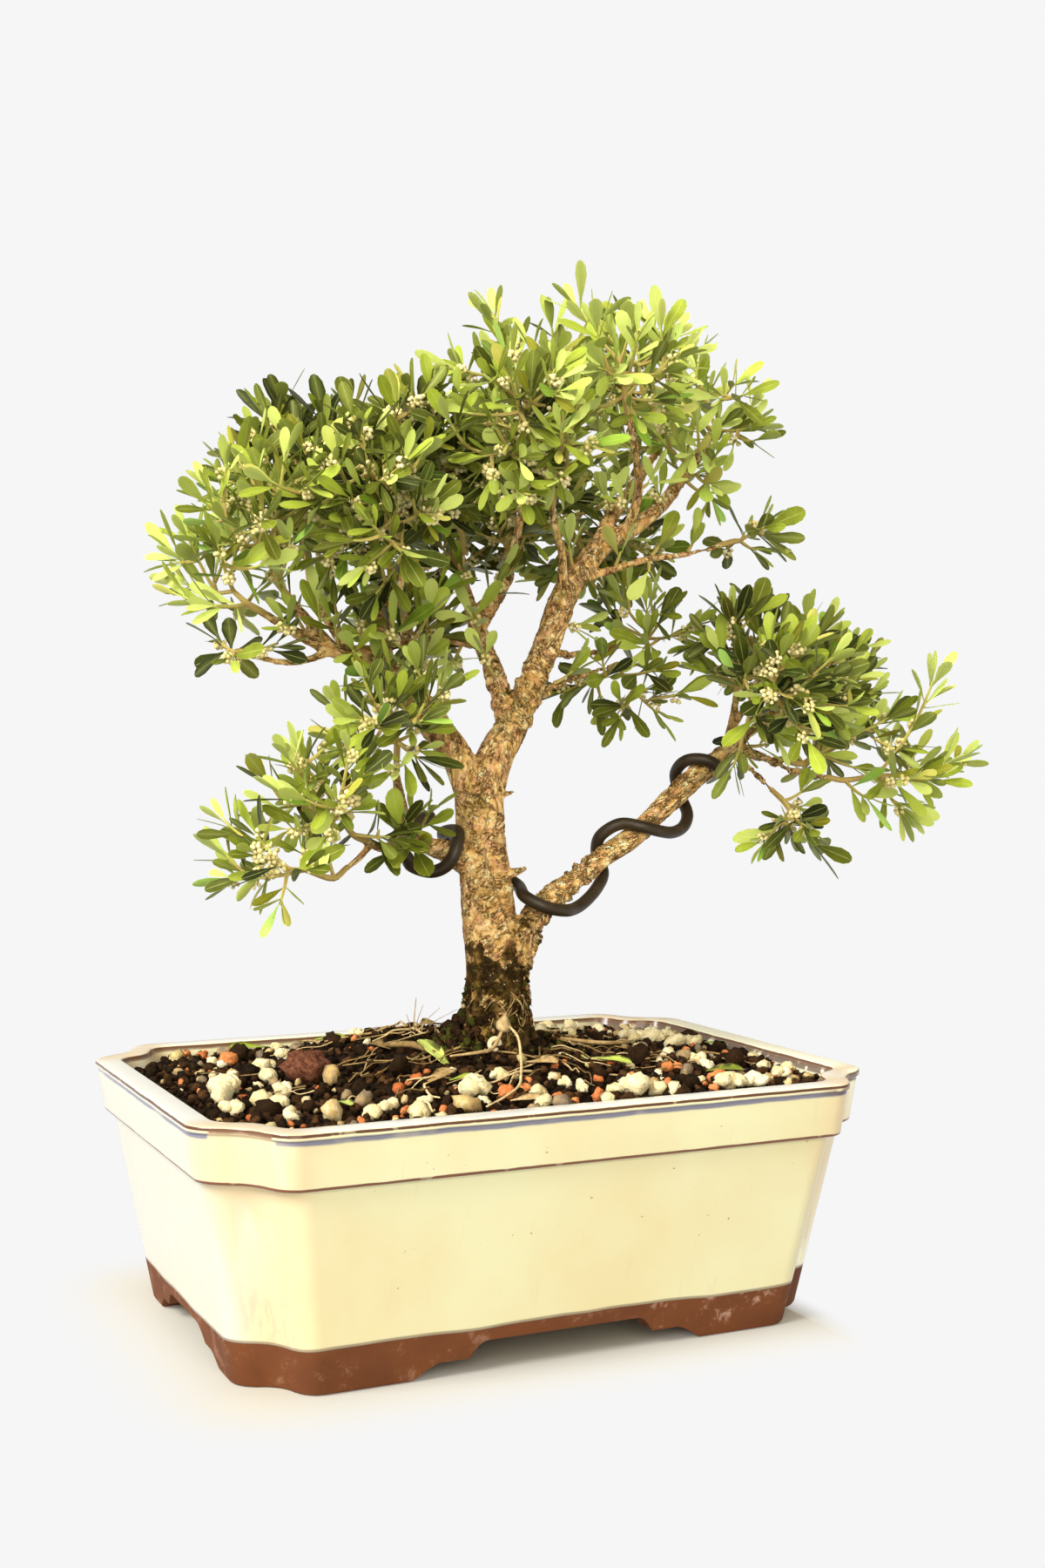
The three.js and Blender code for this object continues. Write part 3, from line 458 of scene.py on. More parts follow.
def makeLeafSkin(name, look):
    material, tree, shader = newMaterial(name, Roughness=0.36, Specular_IOR_Level=0.19,
                                         Specular_Tint=(*look["shine"], 1))
    axes = addNode(tree, "SeparateXYZ", {0: addNode(tree, "UVMap").outputs[0]})
    number = calc(tree, "FLOOR", axes.outputs["Y"])
    chance = addNode(tree, "TexWhiteNoise", {"W": number}, noise_dimensions="1D").outputs["Value"]
    across = calc(tree, "ABSOLUTE", minus(tree, axes.outputs["X"], 0.5))
    mottle = wavering(tree, placeOf(tree), 160.0, 3.0, 0.28)
    blade = rampOf(tree, plus(tree, valueOf(tree, "tone"), mottle, True), look["tones"])
    blade = tint(tree, blade, look["vivid"], between(tree, chance, 0.9, 0.96), 0.65, "MULTIPLY")
    blade = tint(tree, blade, look["faded"], between(tree, chance, 0.14, 0.04), 0.75, "MULTIPLY")
    blade = tint(tree, blade, look["underTone"], valueOf(tree, "under"), look["underShare"])
    rib = between(tree, across, 0.035, 0.008)
    blade = tint(tree, blade, look["rib"], rib, 0.4)
    blade = tint(tree, blade, look["rib"], between(tree, across, 0.462, 0.499), 0.45)
    tree.links.new(blade, shader.inputs["Base Color"])
    slant = minus(tree, times(tree, axes.outputs["Y"], 26.0), times(tree, across, 22.0))
    veins = calc(tree, "SINE", times(tree, slant, 6.2832))
    bumpOf(tree, shader, minus(tree, times(tree, veins, 0.25), rib), 0.00012, 0.5)
    return material


def makeSpeckled(name, stops, roughness, scale, bump, depth):
    # stone, crumb, bud or stem: tones from the piece's own value and a grain
    material, tree, shader = newMaterial(name, Roughness=roughness, Specular_IOR_Level=0.08)
    place = placeOf(tree)
    grain = noiseAt(tree, place, scale, 5.0, 0.65)
    shade = times(tree, minus(tree, grain, 0.33), 0.9)
    shade = plus(tree, times(tree, valueOf(tree, "tone"), 0.65), shade, True)
    tree.links.new(rampOf(tree, shade, stops), shader.inputs["Base Color"])
    bumpOf(tree, shader, noiseAt(tree, place, bump, 4.0, 0.7), depth, 0.9)
    return material


def makeWireCoat(look):
    material, tree, shader = newMaterial("wireCoat", Metallic=0.15, Roughness=0.42, Specular_IOR_Level=0.32)
    place = placeOf(tree)
    worn = noiseAt(tree, place, 120.0, 4.0)
    coat = rampOf(tree, worn, look["coat"])
    rub = between(tree, noiseAt(tree, place, 520.0, 4.0, 0.7), 0.66, 0.76)
    coat = tint(tree, coat, look["rub"], rub, 0.5)
    coat = blendColours(tree, valueOf(tree, "tone"), coat, look["bare"])
    tree.links.new(coat, shader.inputs["Base Color"])
    rough = addNode(tree, "MapRange", {0: worn, 3: 0.34, 4: 0.5}).outputs[0]
    tree.links.new(rough, shader.inputs["Roughness"])
    bumpOf(tree, shader, noiseAt(tree, place, 260.0, 3.0), 0.0002, 0.35)
    return material


potLook = {  # places in metres from the pot's middle, heights in millimetres
    "gloss": 0.16, "cream": (0.57, 0.545, 0.335), "creamDeep": (0.56, 0.49, 0.275),
    "run": (0.5, 0.4, 0.25), "freckle": (0.24, 0.14, 0.07), "fired": (0.49, 0.48, 0.41),
    "firedFrom": (-0.088, -0.1), "top": (0.6, 0.6, 0.57), "paintedHighlightTopFrom": (79.7, 79.96),
    "paintedHighlightRight": (0.74, 0.715, 0.52), "paintedHighlightRightFrom": (0.08, 0.09), "endLean": 0.00022,
    "warmAndShade": (0.545, 0.42, 0.245), "cornerX": (0.078, 0.092), "cornerY": (0.05, 0.064),
    "drip": (0.23, 0.23, 0.19), "dripsFrom": (44.0, 16.0), "offTop": (79.97, 79.8),
    "inner": (0.13, 0.065, 0.035), "innerLine": (78.8, 1.0), "insideX": (0.1095, 0.1085),
    "insideY": (0.082, 0.081), "burnt": (0.09, 0.05, 0.04), "burntLine": (77.6, 1.5),
    "burntFrom": (0.06, 0.075), "glazeEdge": 13.8, "edgeWave": 5.0, "edgeLine": (0.15, 0.105, 0.075),
    "clay": (0.13, 0.036, 0.006), "clayDark": (0.088, 0.024, 0.004), "scuff": (0.4, 0.26, 0.19),
    "rubbedFrom": (0.02, 0.035),
    # height, half width, colour and strength of each line, and whether the glaze pools there
    "lines": [(79.2, 0.55, (0.08, 0.034, 0.02), 1.5, 0), (77.2, 1.3, (0.17, 0.165, 0.21), 1.1, 1),
              (63.4, 0.7, (0.14, 0.055, 0.028), 1.5, 0)],
}
barkLook = {
    "plates": [(0.24, (0.4, 0.19, 0.04)), (0.42, (0.82, 0.46, 0.14)), (0.56, (1.0, 0.7, 0.28)),
               (0.74, (1.0, 0.98, 0.58))],
    "pale": (1.0, 0.86, 0.5), "olive": (0.52, 0.38, 0.09), "pink": (0.84, 0.42, 0.23),
    "crack": (0.09, 0.043, 0.012), "across": 1.5, "along": 7.5, "warp": (2.0, 2.0, 4.5),
    "dampTop": 125.0, "dampFull": 101.0, "dampPatch": 130.0,
    "damp": [(0.3, (0.008, 0.004, 0.001)), (0.44, (0.021, 0.01, 0.001)), (0.54, (0.058, 0.031, 0.004)),
             (0.61, (0.2, 0.115, 0.026)), (0.7, (0.5, 0.29, 0.075))],
}
leafLook = {
    "tones": [(0.0, (0.012, 0.017, 0.005)), (0.22, (0.036, 0.045, 0.006)), (0.45, (0.115, 0.133, 0.01)),
              (0.7, (0.3, 0.365, 0.032)), (1.0, (0.47, 0.54, 0.13))],
    "underTone": (0.3, 0.34, 0.09), "underShare": 0.3, "rib": (0.55, 0.58, 0.2),
    "shine": (0.85, 0.88, 0.34), "vivid": (0.55, 1.0, 0.8), "faded": (1.1, 0.82, 0.7),
}
wireLook = {
    "coat": [(0.3, (0.021, 0.013, 0.006)), (0.62, (0.04, 0.026, 0.012)), (0.8, (0.075, 0.052, 0.03))],
    "rub": (0.16, 0.13, 0.1), "bare": (0.34, 0.28, 0.21),
}
# colours from dark to pale, roughness, scale of the grain and of the pits, depth of the pits
speckledLooks = {
    "stemSkin": ([(0.1, (0.36, 0.22, 0.08)), (0.5, (0.42, 0.34, 0.09)), (0.9, (0.34, 0.42, 0.06))],
                 0.7, 700.0, 1300.0, 0.0002),
    "budSkin": ([(0.15, (0.42, 0.36, 0.1)), (0.5, (0.7, 0.6, 0.25)), (0.9, (0.9, 0.8, 0.44))],
                0.55, 900.0, 1500.0, 0.0002),
    "crumbSkin": ([(0.1, (0.005, 0.003, 0.001)), (0.5, (0.026, 0.012, 0.004)),
                   (0.85, (0.085, 0.038, 0.013))], 0.9, 800.0, 1500.0, 0.0007),
    "pumiceSkin": ([(0.05, (0.27, 0.18, 0.05)), (0.3, (0.52, 0.39, 0.15)), (0.55, (0.67, 0.55, 0.28)),
                    (0.8, (0.8, 0.71, 0.47))], 0.8, 420.0, 900.0, 0.0012),
    "lavaSkin": ([(0.1, (0.14, 0.035, 0.012)), (0.5, (0.44, 0.12, 0.035)), (0.9, (0.7, 0.27, 0.09))],
                 0.85, 700.0, 1100.0, 0.0009),
    "gravelSkin": ([(0.1, (0.06, 0.04, 0.024)), (0.45, (0.19, 0.14, 0.085)), (0.7, (0.42, 0.28, 0.1)),
                    (0.9, (0.6, 0.5, 0.31))], 0.6, 300.0, 1200.0, 0.0003),
    "strawSkin": ([(0.1, (0.07, 0.045, 0.014)), (0.5, (0.3, 0.19, 0.07)), (0.9, (0.66, 0.5, 0.26))],
                  0.75, 500.0, 1400.0, 0.0002),
    "chipSkin": ([(0.2, (0.025, 0.009, 0.005)), (0.42, (0.09, 0.032, 0.016)), (0.6, (0.19, 0.07, 0.036)),
                  (0.85, (0.36, 0.17, 0.1))], 0.85, 900.0, 700.0, 0.0016),
    "mossSkin": ([(0.1, (0.014, 0.014, 0.002)), (0.5, (0.045, 0.048, 0.006)), (0.9, (0.095, 0.09, 0.014))],
                 0.9, 900.0, 1500.0, 0.0004),
    "meshPlastic": ([(0.2, (0.02, 0.02, 0.021)), (0.8, (0.05, 0.05, 0.052))], 0.45, 300.0, 900.0, 0.0001),
    "clipWire": ([(0.2, (0.22, 0.17, 0.13)), (0.8, (0.42, 0.35, 0.28))], 0.35, 500.0, 900.0, 0.0001),
}

glaze = makeGlaze(potLook)
bark = makeBark(barkLook)
leafSkin = makeLeafSkin("leafSkin", leafLook)
wireCoat = makeWireCoat(wireLook)
speckled = {name: makeSpeckled(name, *look) for name, look in speckledLooks.items()}
crumbSkin, pumiceSkin, lavaSkin = (speckled[name] for name in ("crumbSkin", "pumiceSkin", "lavaSkin"))
print("finishes ready")


# Pot: rings of the outline up the outside and down the inside, then the arches between the feet
pot = {
    "height": 80.0, "foot": (97.1, 67.5, 16.8, 17.5), "top": (108.3, 81.2, 19.5, 21.5), "topHeight": 62.4,
    "rim": (113.8, 86.7, 20.7, 23.2), "rimWidth": 8.35, "rimRound": 0.8, "lip": 2.2, "lipProud": 0.9,
    "bandBottom": 63.8, "bandTaper": 3.0, "wall": 7.0, "floor": 17.5, "under": 10.0, "footWall": 9.0,
    "cornerHollow": 4.0, "cornerBend": 5.5, "ledge": 5.0, "fillet": 4.0,
    "frontCut": (49, 40, 31, 25), "sideCut": (36, 28, 22, 15), "drainRadius": 9.0, "drainX": 50.0,
}


def insetOf(size, depth):
    leg = depth * (2 - math.sqrt(2))
    return (size[0] - depth, size[1] - depth, size[2] - leg, size[3] - leg)


def wallAt(z):
    t = z / pot["topHeight"]
    return tuple(f + (b - f) * t for f, b in zip(pot["foot"], pot["top"]))


def cavityAt(z):
    return insetOf(wallAt(z), pot["wall"])


def potOutline(size, bendSteps=7):
    a, b, legA, legB = size
    start, end = np.array([a, b - legB]), np.array([a - legA, b])
    inward = np.array([-1.0, -1.0]) / math.sqrt(2) * pot["cornerHollow"]
    near = start + (end - start) * 0.25 + inward * 0.6
    far = start + (end - start) * 0.75 + inward * 0.6
    middle = (start + end) / 2 + inward * 1.4
    bends = [(np.array([a, b - legB - pot["cornerBend"]]), start, near), (near, middle, far),
             (far, end, np.array([a - legA - pot["cornerBend"], b]))]
    t = np.linspace(0, 1, bendSteps + 1)[:, None]
    quarter = [p * (1 - t) ** 2 + 2 * c * t * (1 - t) + q * t ** 2 for p, c, q in bends]
    quarter = np.vstack([quarter[0], quarter[1][1:], quarter[2][1:]])
    back = quarter[::-1]
    return np.vstack([quarter, back * [-1, 1], quarter * [-1, -1], back * [1, -1]])


def loftRings(rings):
    # closed at both ends by a fan round the middle
    count = len(rings[0])
    points = np.vstack(rings + [[rings[0].mean(0)], [rings[-1].mean(0)]])
    low, high = len(points) - 2, len(points) - 1
    end = (len(rings) - 1) * count
    faces = []
    for i in range(count):
        j = (i + 1) % count
        faces += [[k + i, k + j, k + count + j, k + count + i] for k in range(0, end, count)]
        faces += [[low, j, i], [high, end + i, end + j]]
    return points, faces


def ringAt(z, size):
    flat = potOutline(size)
    return np.column_stack([flat, np.full(len(flat), z)])


def rounded(z, size, radius, fromTurn, toTurn, steps=4):
    # rings round an edge whose arc centre is at height z, in the outline called size
    turns = np.radians(np.linspace(fromTurn, toTurn, steps + 1))
    return [ringAt(z + radius * math.sin(t), insetOf(size, -radius * math.cos(t))) for t in turns]


def prism(outline, depth, alongX):
    # a cutter through the pot
    count = len(outline)
    ends = []
    for side in (depth, -depth):
        across, up = outline[:, 0], outline[:, 1]
        ends.append(np.column_stack([np.full(count, side), across, up] if alongX
                                    else [across, np.full(count, -side), up]))
    points = np.vstack(ends)
    faces = [list(range(count - 1, -1, -1)), list(range(count, count * 2))]
    faces += [[i, (i + 1) % count, count + (i + 1) % count, count + i] for i in range(count)]
    return points, [face[::-1] for face in faces]


def archOutline(cut):
    foot, ledgeOut, ledgeIn, top = cut
    ledge, under = pot["ledge"], pot["under"]
    t = np.linspace(0, 1, 7)[:, None]

    def bend(a, b, c):
        a, b, c = np.array(a, float), np.array(b, float), np.array(c, float)
        return a * (1 - t) ** 2 + 2 * b * t * (1 - t) + c * t ** 2

    left = np.vstack([[[-foot, -1]], bend((-foot, 0), (-ledgeOut - 2, ledge), (-ledgeOut, ledge)),
                      bend((-ledgeIn, ledge), (-top - 3, under), (-top, under))])
    return np.vstack([left, left[::-1] * [-1, 1]])


def cutAway(piece, points, faces):
    cutter = addPiece("cutter", points, faces, [])
    pick(cutter)
    bpy.ops.object.mode_set(mode="EDIT")
    bpy.ops.mesh.select_all(action="SELECT")
    bpy.ops.mesh.normals_make_consistent(inside=False)
    bpy.ops.object.mode_set(mode="OBJECT")
    cut = piece.modifiers.new("cut", "BOOLEAN")
    cut.operation, cut.solver, cut.object = "DIFFERENCE", "EXACT", cutter
    applyAll(piece)
    bpy.data.objects.remove(cutter)


def makePot():
    rim, rimRound, height = pot["rim"], pot["rimRound"], pot["height"]
    lipUnder = height - pot["lip"]
    band = insetOf(rim, pot["bandTaper"])
    rings = [ringAt(z, insetOf(wallAt(z), depth)) for z, depth in ((0, 1.2), (0.35, 0.4), (1.2, 0))]
    rings += [ringAt(z, wallAt(z)) for z in (12, 24, 36, 48, 60)]
    rings += [ringAt(62.0, wallAt(62.0)), ringAt(62.5, insetOf(band, 1.9))]
    rings += rounded(pot["bandBottom"], insetOf(band, 0.8), 0.8, -80, 0)
    rings += [ringAt(70, insetOf(rim, 2.0)), ringAt(lipUnder - 0.9, insetOf(rim, pot["lipProud"]))]
    rings += [ringAt(lipUnder - 0.35, insetOf(rim, pot["lipProud"])), ringAt(lipUnder, insetOf(rim, 0.25)),
              ringAt(lipUnder + 0.3, rim)]
    rings += rounded(height - rimRound, insetOf(rim, rimRound), rimRound, 0, 90)
    rings += rounded(height - rimRound, insetOf(rim, pot["rimWidth"] - rimRound), -rimRound, -90, 0)
    rings += [ringAt(z, cavityAt(min(z, pot["topHeight"]))) for z in (72, 50, pot["floor"] + pot["fillet"])]
    rings += [ringAt(pot["floor"] + 1.2, insetOf(cavityAt(pot["floor"]), 1.2)),
              ringAt(pot["floor"], insetOf(cavityAt(pot["floor"]), pot["fillet"]))]
    points, faces = loftRings(rings)
    piece = addPiece("glazed_pot", points, faces, [glaze])
    under = insetOf(wallAt(0), pot["footWall"])
    cutAway(piece, *loftRings([ringAt(-1, under), ringAt(pot["under"], under)]))
    cutAway(piece, *prism(archOutline(pot["frontCut"]), 120.0, False))
    cutAway(piece, *prism(archOutline(pot["sideCut"]), 150.0, True))
    for side in (-1, 1):
        turns = np.arange(32) / 32 * 2 * math.pi
        hole = [np.column_stack([side * pot["drainX"] + pot["drainRadius"] * np.cos(turns),
                                 pot["drainRadius"] * np.sin(turns), np.full(32, z)]) for z in (4.0, 24.0)]
        cutAway(piece, *loftRings(hole))
    pick(piece)
    bpy.ops.object.shade_smooth_by_angle(angle=math.radians(32))
    return finishPiece(piece, "pot_glaze", "pot")


makePot()
print("pot ready")


# Wood: the same limbs as the construction, smoothed, joined and given their bark
limbs = {
    "trunk": [[11, 5, 71.5, 15], [11, 5, 80, 14], [11, 5, 88, 12.5], [11, 5, 99, 11.5], [11, 5, 111, 10.5],
              [9, 6, 126, 9.5], [8, 7, 140, 9], [7, 8, 153, 8.5], [6, 8, 165, 8.5], [6, 8, 173, 7.5],
              [6, 8, 178, 4]],
    "left_main": [[6, 9, 166, 7], [-2, 9, 183, 5.5], [-12, 8, 195, 5.5], [-21, 7, 205, 5.5],
                  [-31, 7, 214, 5], [-45, 4, 217, 3], [-60, 1, 222, 2], [-74, -2, 229, 1.3]],
    "left_up": [[-28, 6, 212, 3], [-31, 3, 220, 3], [-32, -3, 229, 2.4], [-30, -9, 237, 1.8],
                [-30, -12, 244, 1.4]],
    "left_fork": [[-46, 4, 217, 2], [-58, 0, 227, 1.8], [-65, -3, 234, 1.3]],
    "left_back": [[-22, 8, 206, 3], [-17, 18, 218, 2.5], [-11, 33, 229, 1.8], [-7, 49, 240, 1.3]],
    "left_mid": [[-41, 5, 216, 2], [-43, 17, 225, 1.7], [-45, 27, 234, 1.3]],
    "left_low": [[-48, 3, 217, 1.4], [-64, 0, 213, 1.2], [-77, -1, 215, 1]],
    "right_main": [[7, 8, 169, 7], [12, 8, 183, 6.5], [20, 8, 196, 5.5], [26, 8, 209, 5.3],
                   [32, 9, 221, 5], [38, 11, 235, 5], [44, 12, 246, 4.6]],
    "right_out": [[42, 12, 242, 4.5], [54, 10, 257, 4], [66, 8, 264, 3.2], [76, 6, 272, 2.6],
                  [84, 6, 282, 2.4], [90, 6, 289, 1.9], [95, 6, 296, 1.4]],
    "right_high": [[51, 10, 253, 3.4], [62, 17, 269, 2.8], [74, 23, 281, 2.2], [86, 29, 294, 1.5]],
    "right_thin": [[39, 12, 239, 2.4], [36, 5, 252, 1.7], [29, -3, 262, 1.4], [26, -8, 269, 1.2]],
    "right_twig": [[44, 12, 244, 2], [59, 10, 249, 1.5], [72, 8, 253, 1.4], [86, 6, 255, 1.3],
                   [100, 5, 259, 1.1]],
    "right_low": [[26, 8, 203, 2.2], [40, 11, 209, 1.6], [51, 17, 212, 1.3], [64, 22, 215, 1]],
    "right_side": [[33, 10, 219, 2], [50, 18, 219, 1.5], [66, 28, 222, 1.3], [84, 37, 226, 1.1]],
    "right_back": [[34, 10, 225, 2.8], [45, 27, 239, 2.5], [57, 44, 253, 1.9], [65, 58, 268, 1.4]],
    "crown_left": [[26, 31, 243, 2], [31, 31, 262, 1.7], [31, 24, 281, 1.4], [27, 14, 296, 1.2]],
    "crown_right": [[63, 8, 262, 2.4], [61, -4, 275, 1.8], [54, -14, 288, 1.4], [48, -20, 299, 1.2]],
    "mid_main": [[18, 9, 189, 4.5], [17, 15, 204, 4], [17, 22, 214, 3.6], [16, 29, 224, 3.5],
                 [16, 34, 231, 3.3]],
    "mid_left": [[16, 32, 227, 3], [13, 33, 238, 2.5], [9, 30, 246, 1.8], [7, 25, 255, 1.3]],
    "mid_right": [[16, 32, 228, 3], [22, 30, 238, 2.6], [28, 32, 247, 2.1], [34, 46, 256, 1.4]],
    "mid_thin": [[16, 28, 222, 1.8], [13, 39, 223, 1.3], [9, 50, 225, 1.1], [5, 59, 223, 1]],
    "mid_back": [[16, 29, 223, 2.4], [20, 44, 233, 2], [23, 59, 244, 1.6], [25, 72, 254, 1.3]],
    "low_left": [[2, 7, 147, 5.5], [-7, 6, 151, 4], [-14, 4, 153, 3.2], [-21, 3, 157, 2.6],
                 [-25, 1, 167, 2], [-28, -2, 176, 1.6], [-29, -5, 183, 1.2]],
    "low_left_out": [[-18, 3, 155, 2.4], [-27, -1, 155, 1.9], [-34, -4, 153, 1.6], [-41, -7, 156, 1.2]],
    "low_left_down": [[-38, -5.7, 154.8, 1.4], [-44, -9, 150, 1.2], [-49, -11, 147, 1]],
    "right_lower": [[15, 2, 110, 6.5], [22, 3, 124, 5.5], [30, 5, 132, 5], [41, 8, 139, 4.5],
                    [54, 10, 147, 4], [65, 11, 153, 4], [75, 12, 160, 4], [86, 13, 169, 4.5],
                    [95, 13, 176, 4.5], [103, 14, 181, 4], [110, 13, 187, 3.4], [116, 13, 191, 2.2]],
    "pad_up": [[107, 13, 184, 2.8], [107, 8, 196, 1.9], [105, 3, 204, 1.3]],
    "pad_front": [[107, 9, 193, 1.8], [102, -5, 198, 1.4], [98, -17, 201, 1.1]],
    "pad_out": [[111, 13, 187, 2.6], [118, 9, 183, 1.9], [130, 6, 181, 1.4]],
    "pad_tip": [[120, 9, 182.5, 1.5], [130, 1, 177, 1.3], [141, -4, 175, 1.1]],
    "pad_in": [[113, 13, 189, 2.2], [127, 17, 197, 1.8], [138, 20, 205, 1.3]],
    "pad_low": [[109, 12, 185, 2.2], [115, 5, 176, 1.3], [118, -2, 170, 1]],
}
knobs = {  # cut stubs, and the roots that show where the trunk meets the soil
    "fork_stub": [[-1, 8, 182, 3.0], [-4.3, 5, 188, 2.4], [-5.8, 4, 192, 1.5]],
    "wire_stub": [[10, 2, 142.5, 2.2], [16.5, 0, 144, 1.6], [19.3, -1, 145, 1.0]],
    "side_stub": [[8, 6, 169, 2.0], [13.5, 3, 170, 1.2], [16.3, 2, 171, 0.8]],
    "root_left": [[5, 2, 92, 5], [1, 0, 84, 4.5], [-3, -2, 77, 3.5]],
    "root_front": [[13, -1, 92, 5], [15, -7, 84, 4], [17, -13, 78, 3]],
    "root_right": [[17, 2, 94, 5], [22, 0, 85, 3.6], [27, -4, 79, 2.4]],
    "root_back": [[12, 9, 92, 5], [14, 14, 84, 4.5], [16, 20, 77, 3.5]],
}
woodLook = {"voxel": 0.00073, "plateAcross": 2.5, "plateAlong": 9.0, "crackWidth": 0.16, "depth": 0.13,
            "deepest": 1.35, "flare": 1.0, "seed": 41}


def limbLines():
    lines = []
    for points in list(limbs.values()) + list(knobs.values()):
        line = smoothLine(np.array(points, float), 6)
        line[:, 3] = np.maximum(line[:, 3], 0.8)
        lines.append(respace(line, 1.6))
    return lines


woodLines = limbLines()
woodTree = kdtree.KDTree(sum(len(line) for line in woodLines))
woodSpots = []
for woodLine in woodLines:
    woodLengths = lengthsAlong(woodLine)
    for spotIndex, (spot, (along, side, lift)) in enumerate(zip(woodLine, framesAlong(woodLine[:, :3]))):
        woodTree.insert(Vector(spot[:3]), len(woodSpots))
        woodSpots.append((spot[:3], spot[3], woodLengths[spotIndex], along, side, lift))
woodTree.balance()


def nearestWood(point):
    # the limb whose skin is nearest: its place and the distance from that skin
    best = min(woodTree.find_n(Vector(point), 6), key=lambda found: found[2] - woodSpots[found[1]][1])
    return woodSpots[best[1]], best[2] - woodSpots[best[1]][1]


def barkRelief(point):
    # crack and height of the plate at a point, in the limb's own straightened space
    spot, radius, length, along, side, lift = nearestWood(point)[0]
    away = point - spot
    straight = Vector((away @ side, away @ lift, length + away @ along))
    laid = Vector((straight.x / woodLook["plateAcross"], straight.y / woodLook["plateAcross"],
                   straight.z / woodLook["plateAlong"]))
    wobble = noise.noise_vector(laid * 0.9) * 0.5 + noise.noise_vector(laid * 3.1) * 0.16
    distances, centres = noise.voronoi(laid + wobble)
    crack = 1 - min(1.0, (distances[1] - distances[0]) / woodLook["crackWidth"])
    crack = crack * crack * (3 - 2 * crack)
    plate = noise.cell(centres[0] * 7.3)
    # each plate is tipped, so that its edge stands over the next
    aim = noise.cell_vector(centres[0] * 3.1) - Vector((0.5, 0.5, 0.5))
    tip = max(-1.0, min(1.0, (laid + wobble - centres[0]).dot(aim)))
    fine = noise.noise(laid * 3.5) * 0.6 + noise.noise(laid * 8.0) * 0.4
    return crack, plate - 0.5 + 1.6 * tip, fine, radius, straight


def makeWood():
    points, faces, count = [], [], 0
    for line in woodLines:
        sides = 20 if line[0, 3] > 4 else 12
        some, theirs = tube(line[:, :3], line[:, 3], sides, bud=0.3)
        points.append(some)
        faces += [[i + count for i in face] for face in sorted(theirs, key=len, reverse=True)]
        count += len(some)
    piece = addPiece("tree_wood", np.vstack(points), faces, [bark])
    remesh = piece.modifiers.new("join", "REMESH")
    remesh.mode, remesh.voxel_size = "VOXEL", woodLook["voxel"]
    evenOut = piece.modifiers.new("even", "SMOOTH")
    evenOut.factor, evenOut.iterations = 0.5, 3
    applyAll(piece)
    mesh = piece.data
    places = np.zeros(len(mesh.vertices) * 3)
    normals = np.zeros(len(mesh.vertices) * 3)
    mesh.vertices.foreach_get("co", places)
    mesh.vertices.foreach_get("normal", normals)
    places = places.reshape(-1, 3) / mm - potCentre
    normals = normals.reshape(-1, 3)
    cracks, straights = np.zeros(len(places)), np.zeros((len(places), 3))
    for i, point in enumerate(places):
        crack, rise, fine, radius, straight = barkRelief(point)
        depth = min(radius * woodLook["depth"], woodLook["deepest"])
        raised = depth * (woodLook["flare"] * rise + 0.5 * fine - 0.6 * crack - 0.15)
        places[i] = point + normals[i] * raised
        cracks[i], straights[i] = crack, straight
    mesh.vertices.foreach_set("co", ((places + potCentre) * mm).ravel())
    mesh.attributes.new("crack", "FLOAT", "POINT").data.foreach_set("value", cracks.astype(np.float32))
    laidOut = mesh.attributes.new("straight", "FLOAT_VECTOR", "POINT")
    laidOut.data.foreach_set("vector", straights.astype(np.float32).ravel())
    mesh.materials.clear()
    mesh.materials.append(bark)
    mesh.polygons.foreach_set("use_smooth", np.full(len(mesh.polygons), True))
    mesh.update()
    return finishPiece(piece, "bark", "trunk_and_branches")


# the noise vector of the plates' wobble is new in each run unless it is seeded
noise.seed_set(woodLook["seed"])
makeWood()
print("wood ready")


# Training wire: the same stations as the construction's, drawn as one round wire
wire = {"radius": 2.2, "seat": 0.4, "sides": 16, "step": 1.1, "wornEnd": 7.0}
leftWound = [[-41, -7, 156, 1.1], [-34, -4, 153, 1.6], [-27, -1, 155, 1.9], [-21, 3, 157, 2.6],
             [-14, 4, 153, 3.2], [-7, 6, 151, 4], [1, 7, 148, 5]]
leftTurns = [[8.5, 132, 1.2], [11.5, 100, 0.8], [16, 70, 0.8], [21.5, 48, 1.8], [26, 15, 2.6],
             [25, -50, 1.4], [21, -120, 1], [19, -165, 1], [24, -176, 2.4], [30, -170, 3], [34.5, -182, 2],
             [37, -216, 0.6], [38, -262, 0.3], [39, -305, 0.3], [40, -340, 1]]
behindTrunk = [[-5.5, 12, 157], [-1.5, 18, 153.5], [5, 19.8, 149.5], [12, 18.8, 145.5], [18, 14.8, 141.5],
               [21.3, 9.6, 138.3]]
rightTurns = [[21.5, 10, 1.6], [22, 58, 0.6], [27, 106, 0], [34, 142, 0.6], [41, 158, 1.2], [49, 176, 0.8],
              [56, 210, 0.5], [58.5, 265, 0.2], [60.5, 318, 0.1], [64, 346, 0.6], [69, 368, 0.3],
              [73, 420, 0], [78, 470, 0.6], [83, 506, 2], [89, 526, 3.2], [95, 548, 2], [99, 602, 0.3],
              [102, 665, 0], [105.5, 722, 0.2], [109, 766, 0], [111.5, 812, 0.3], [112.5, 850, 1.4]]


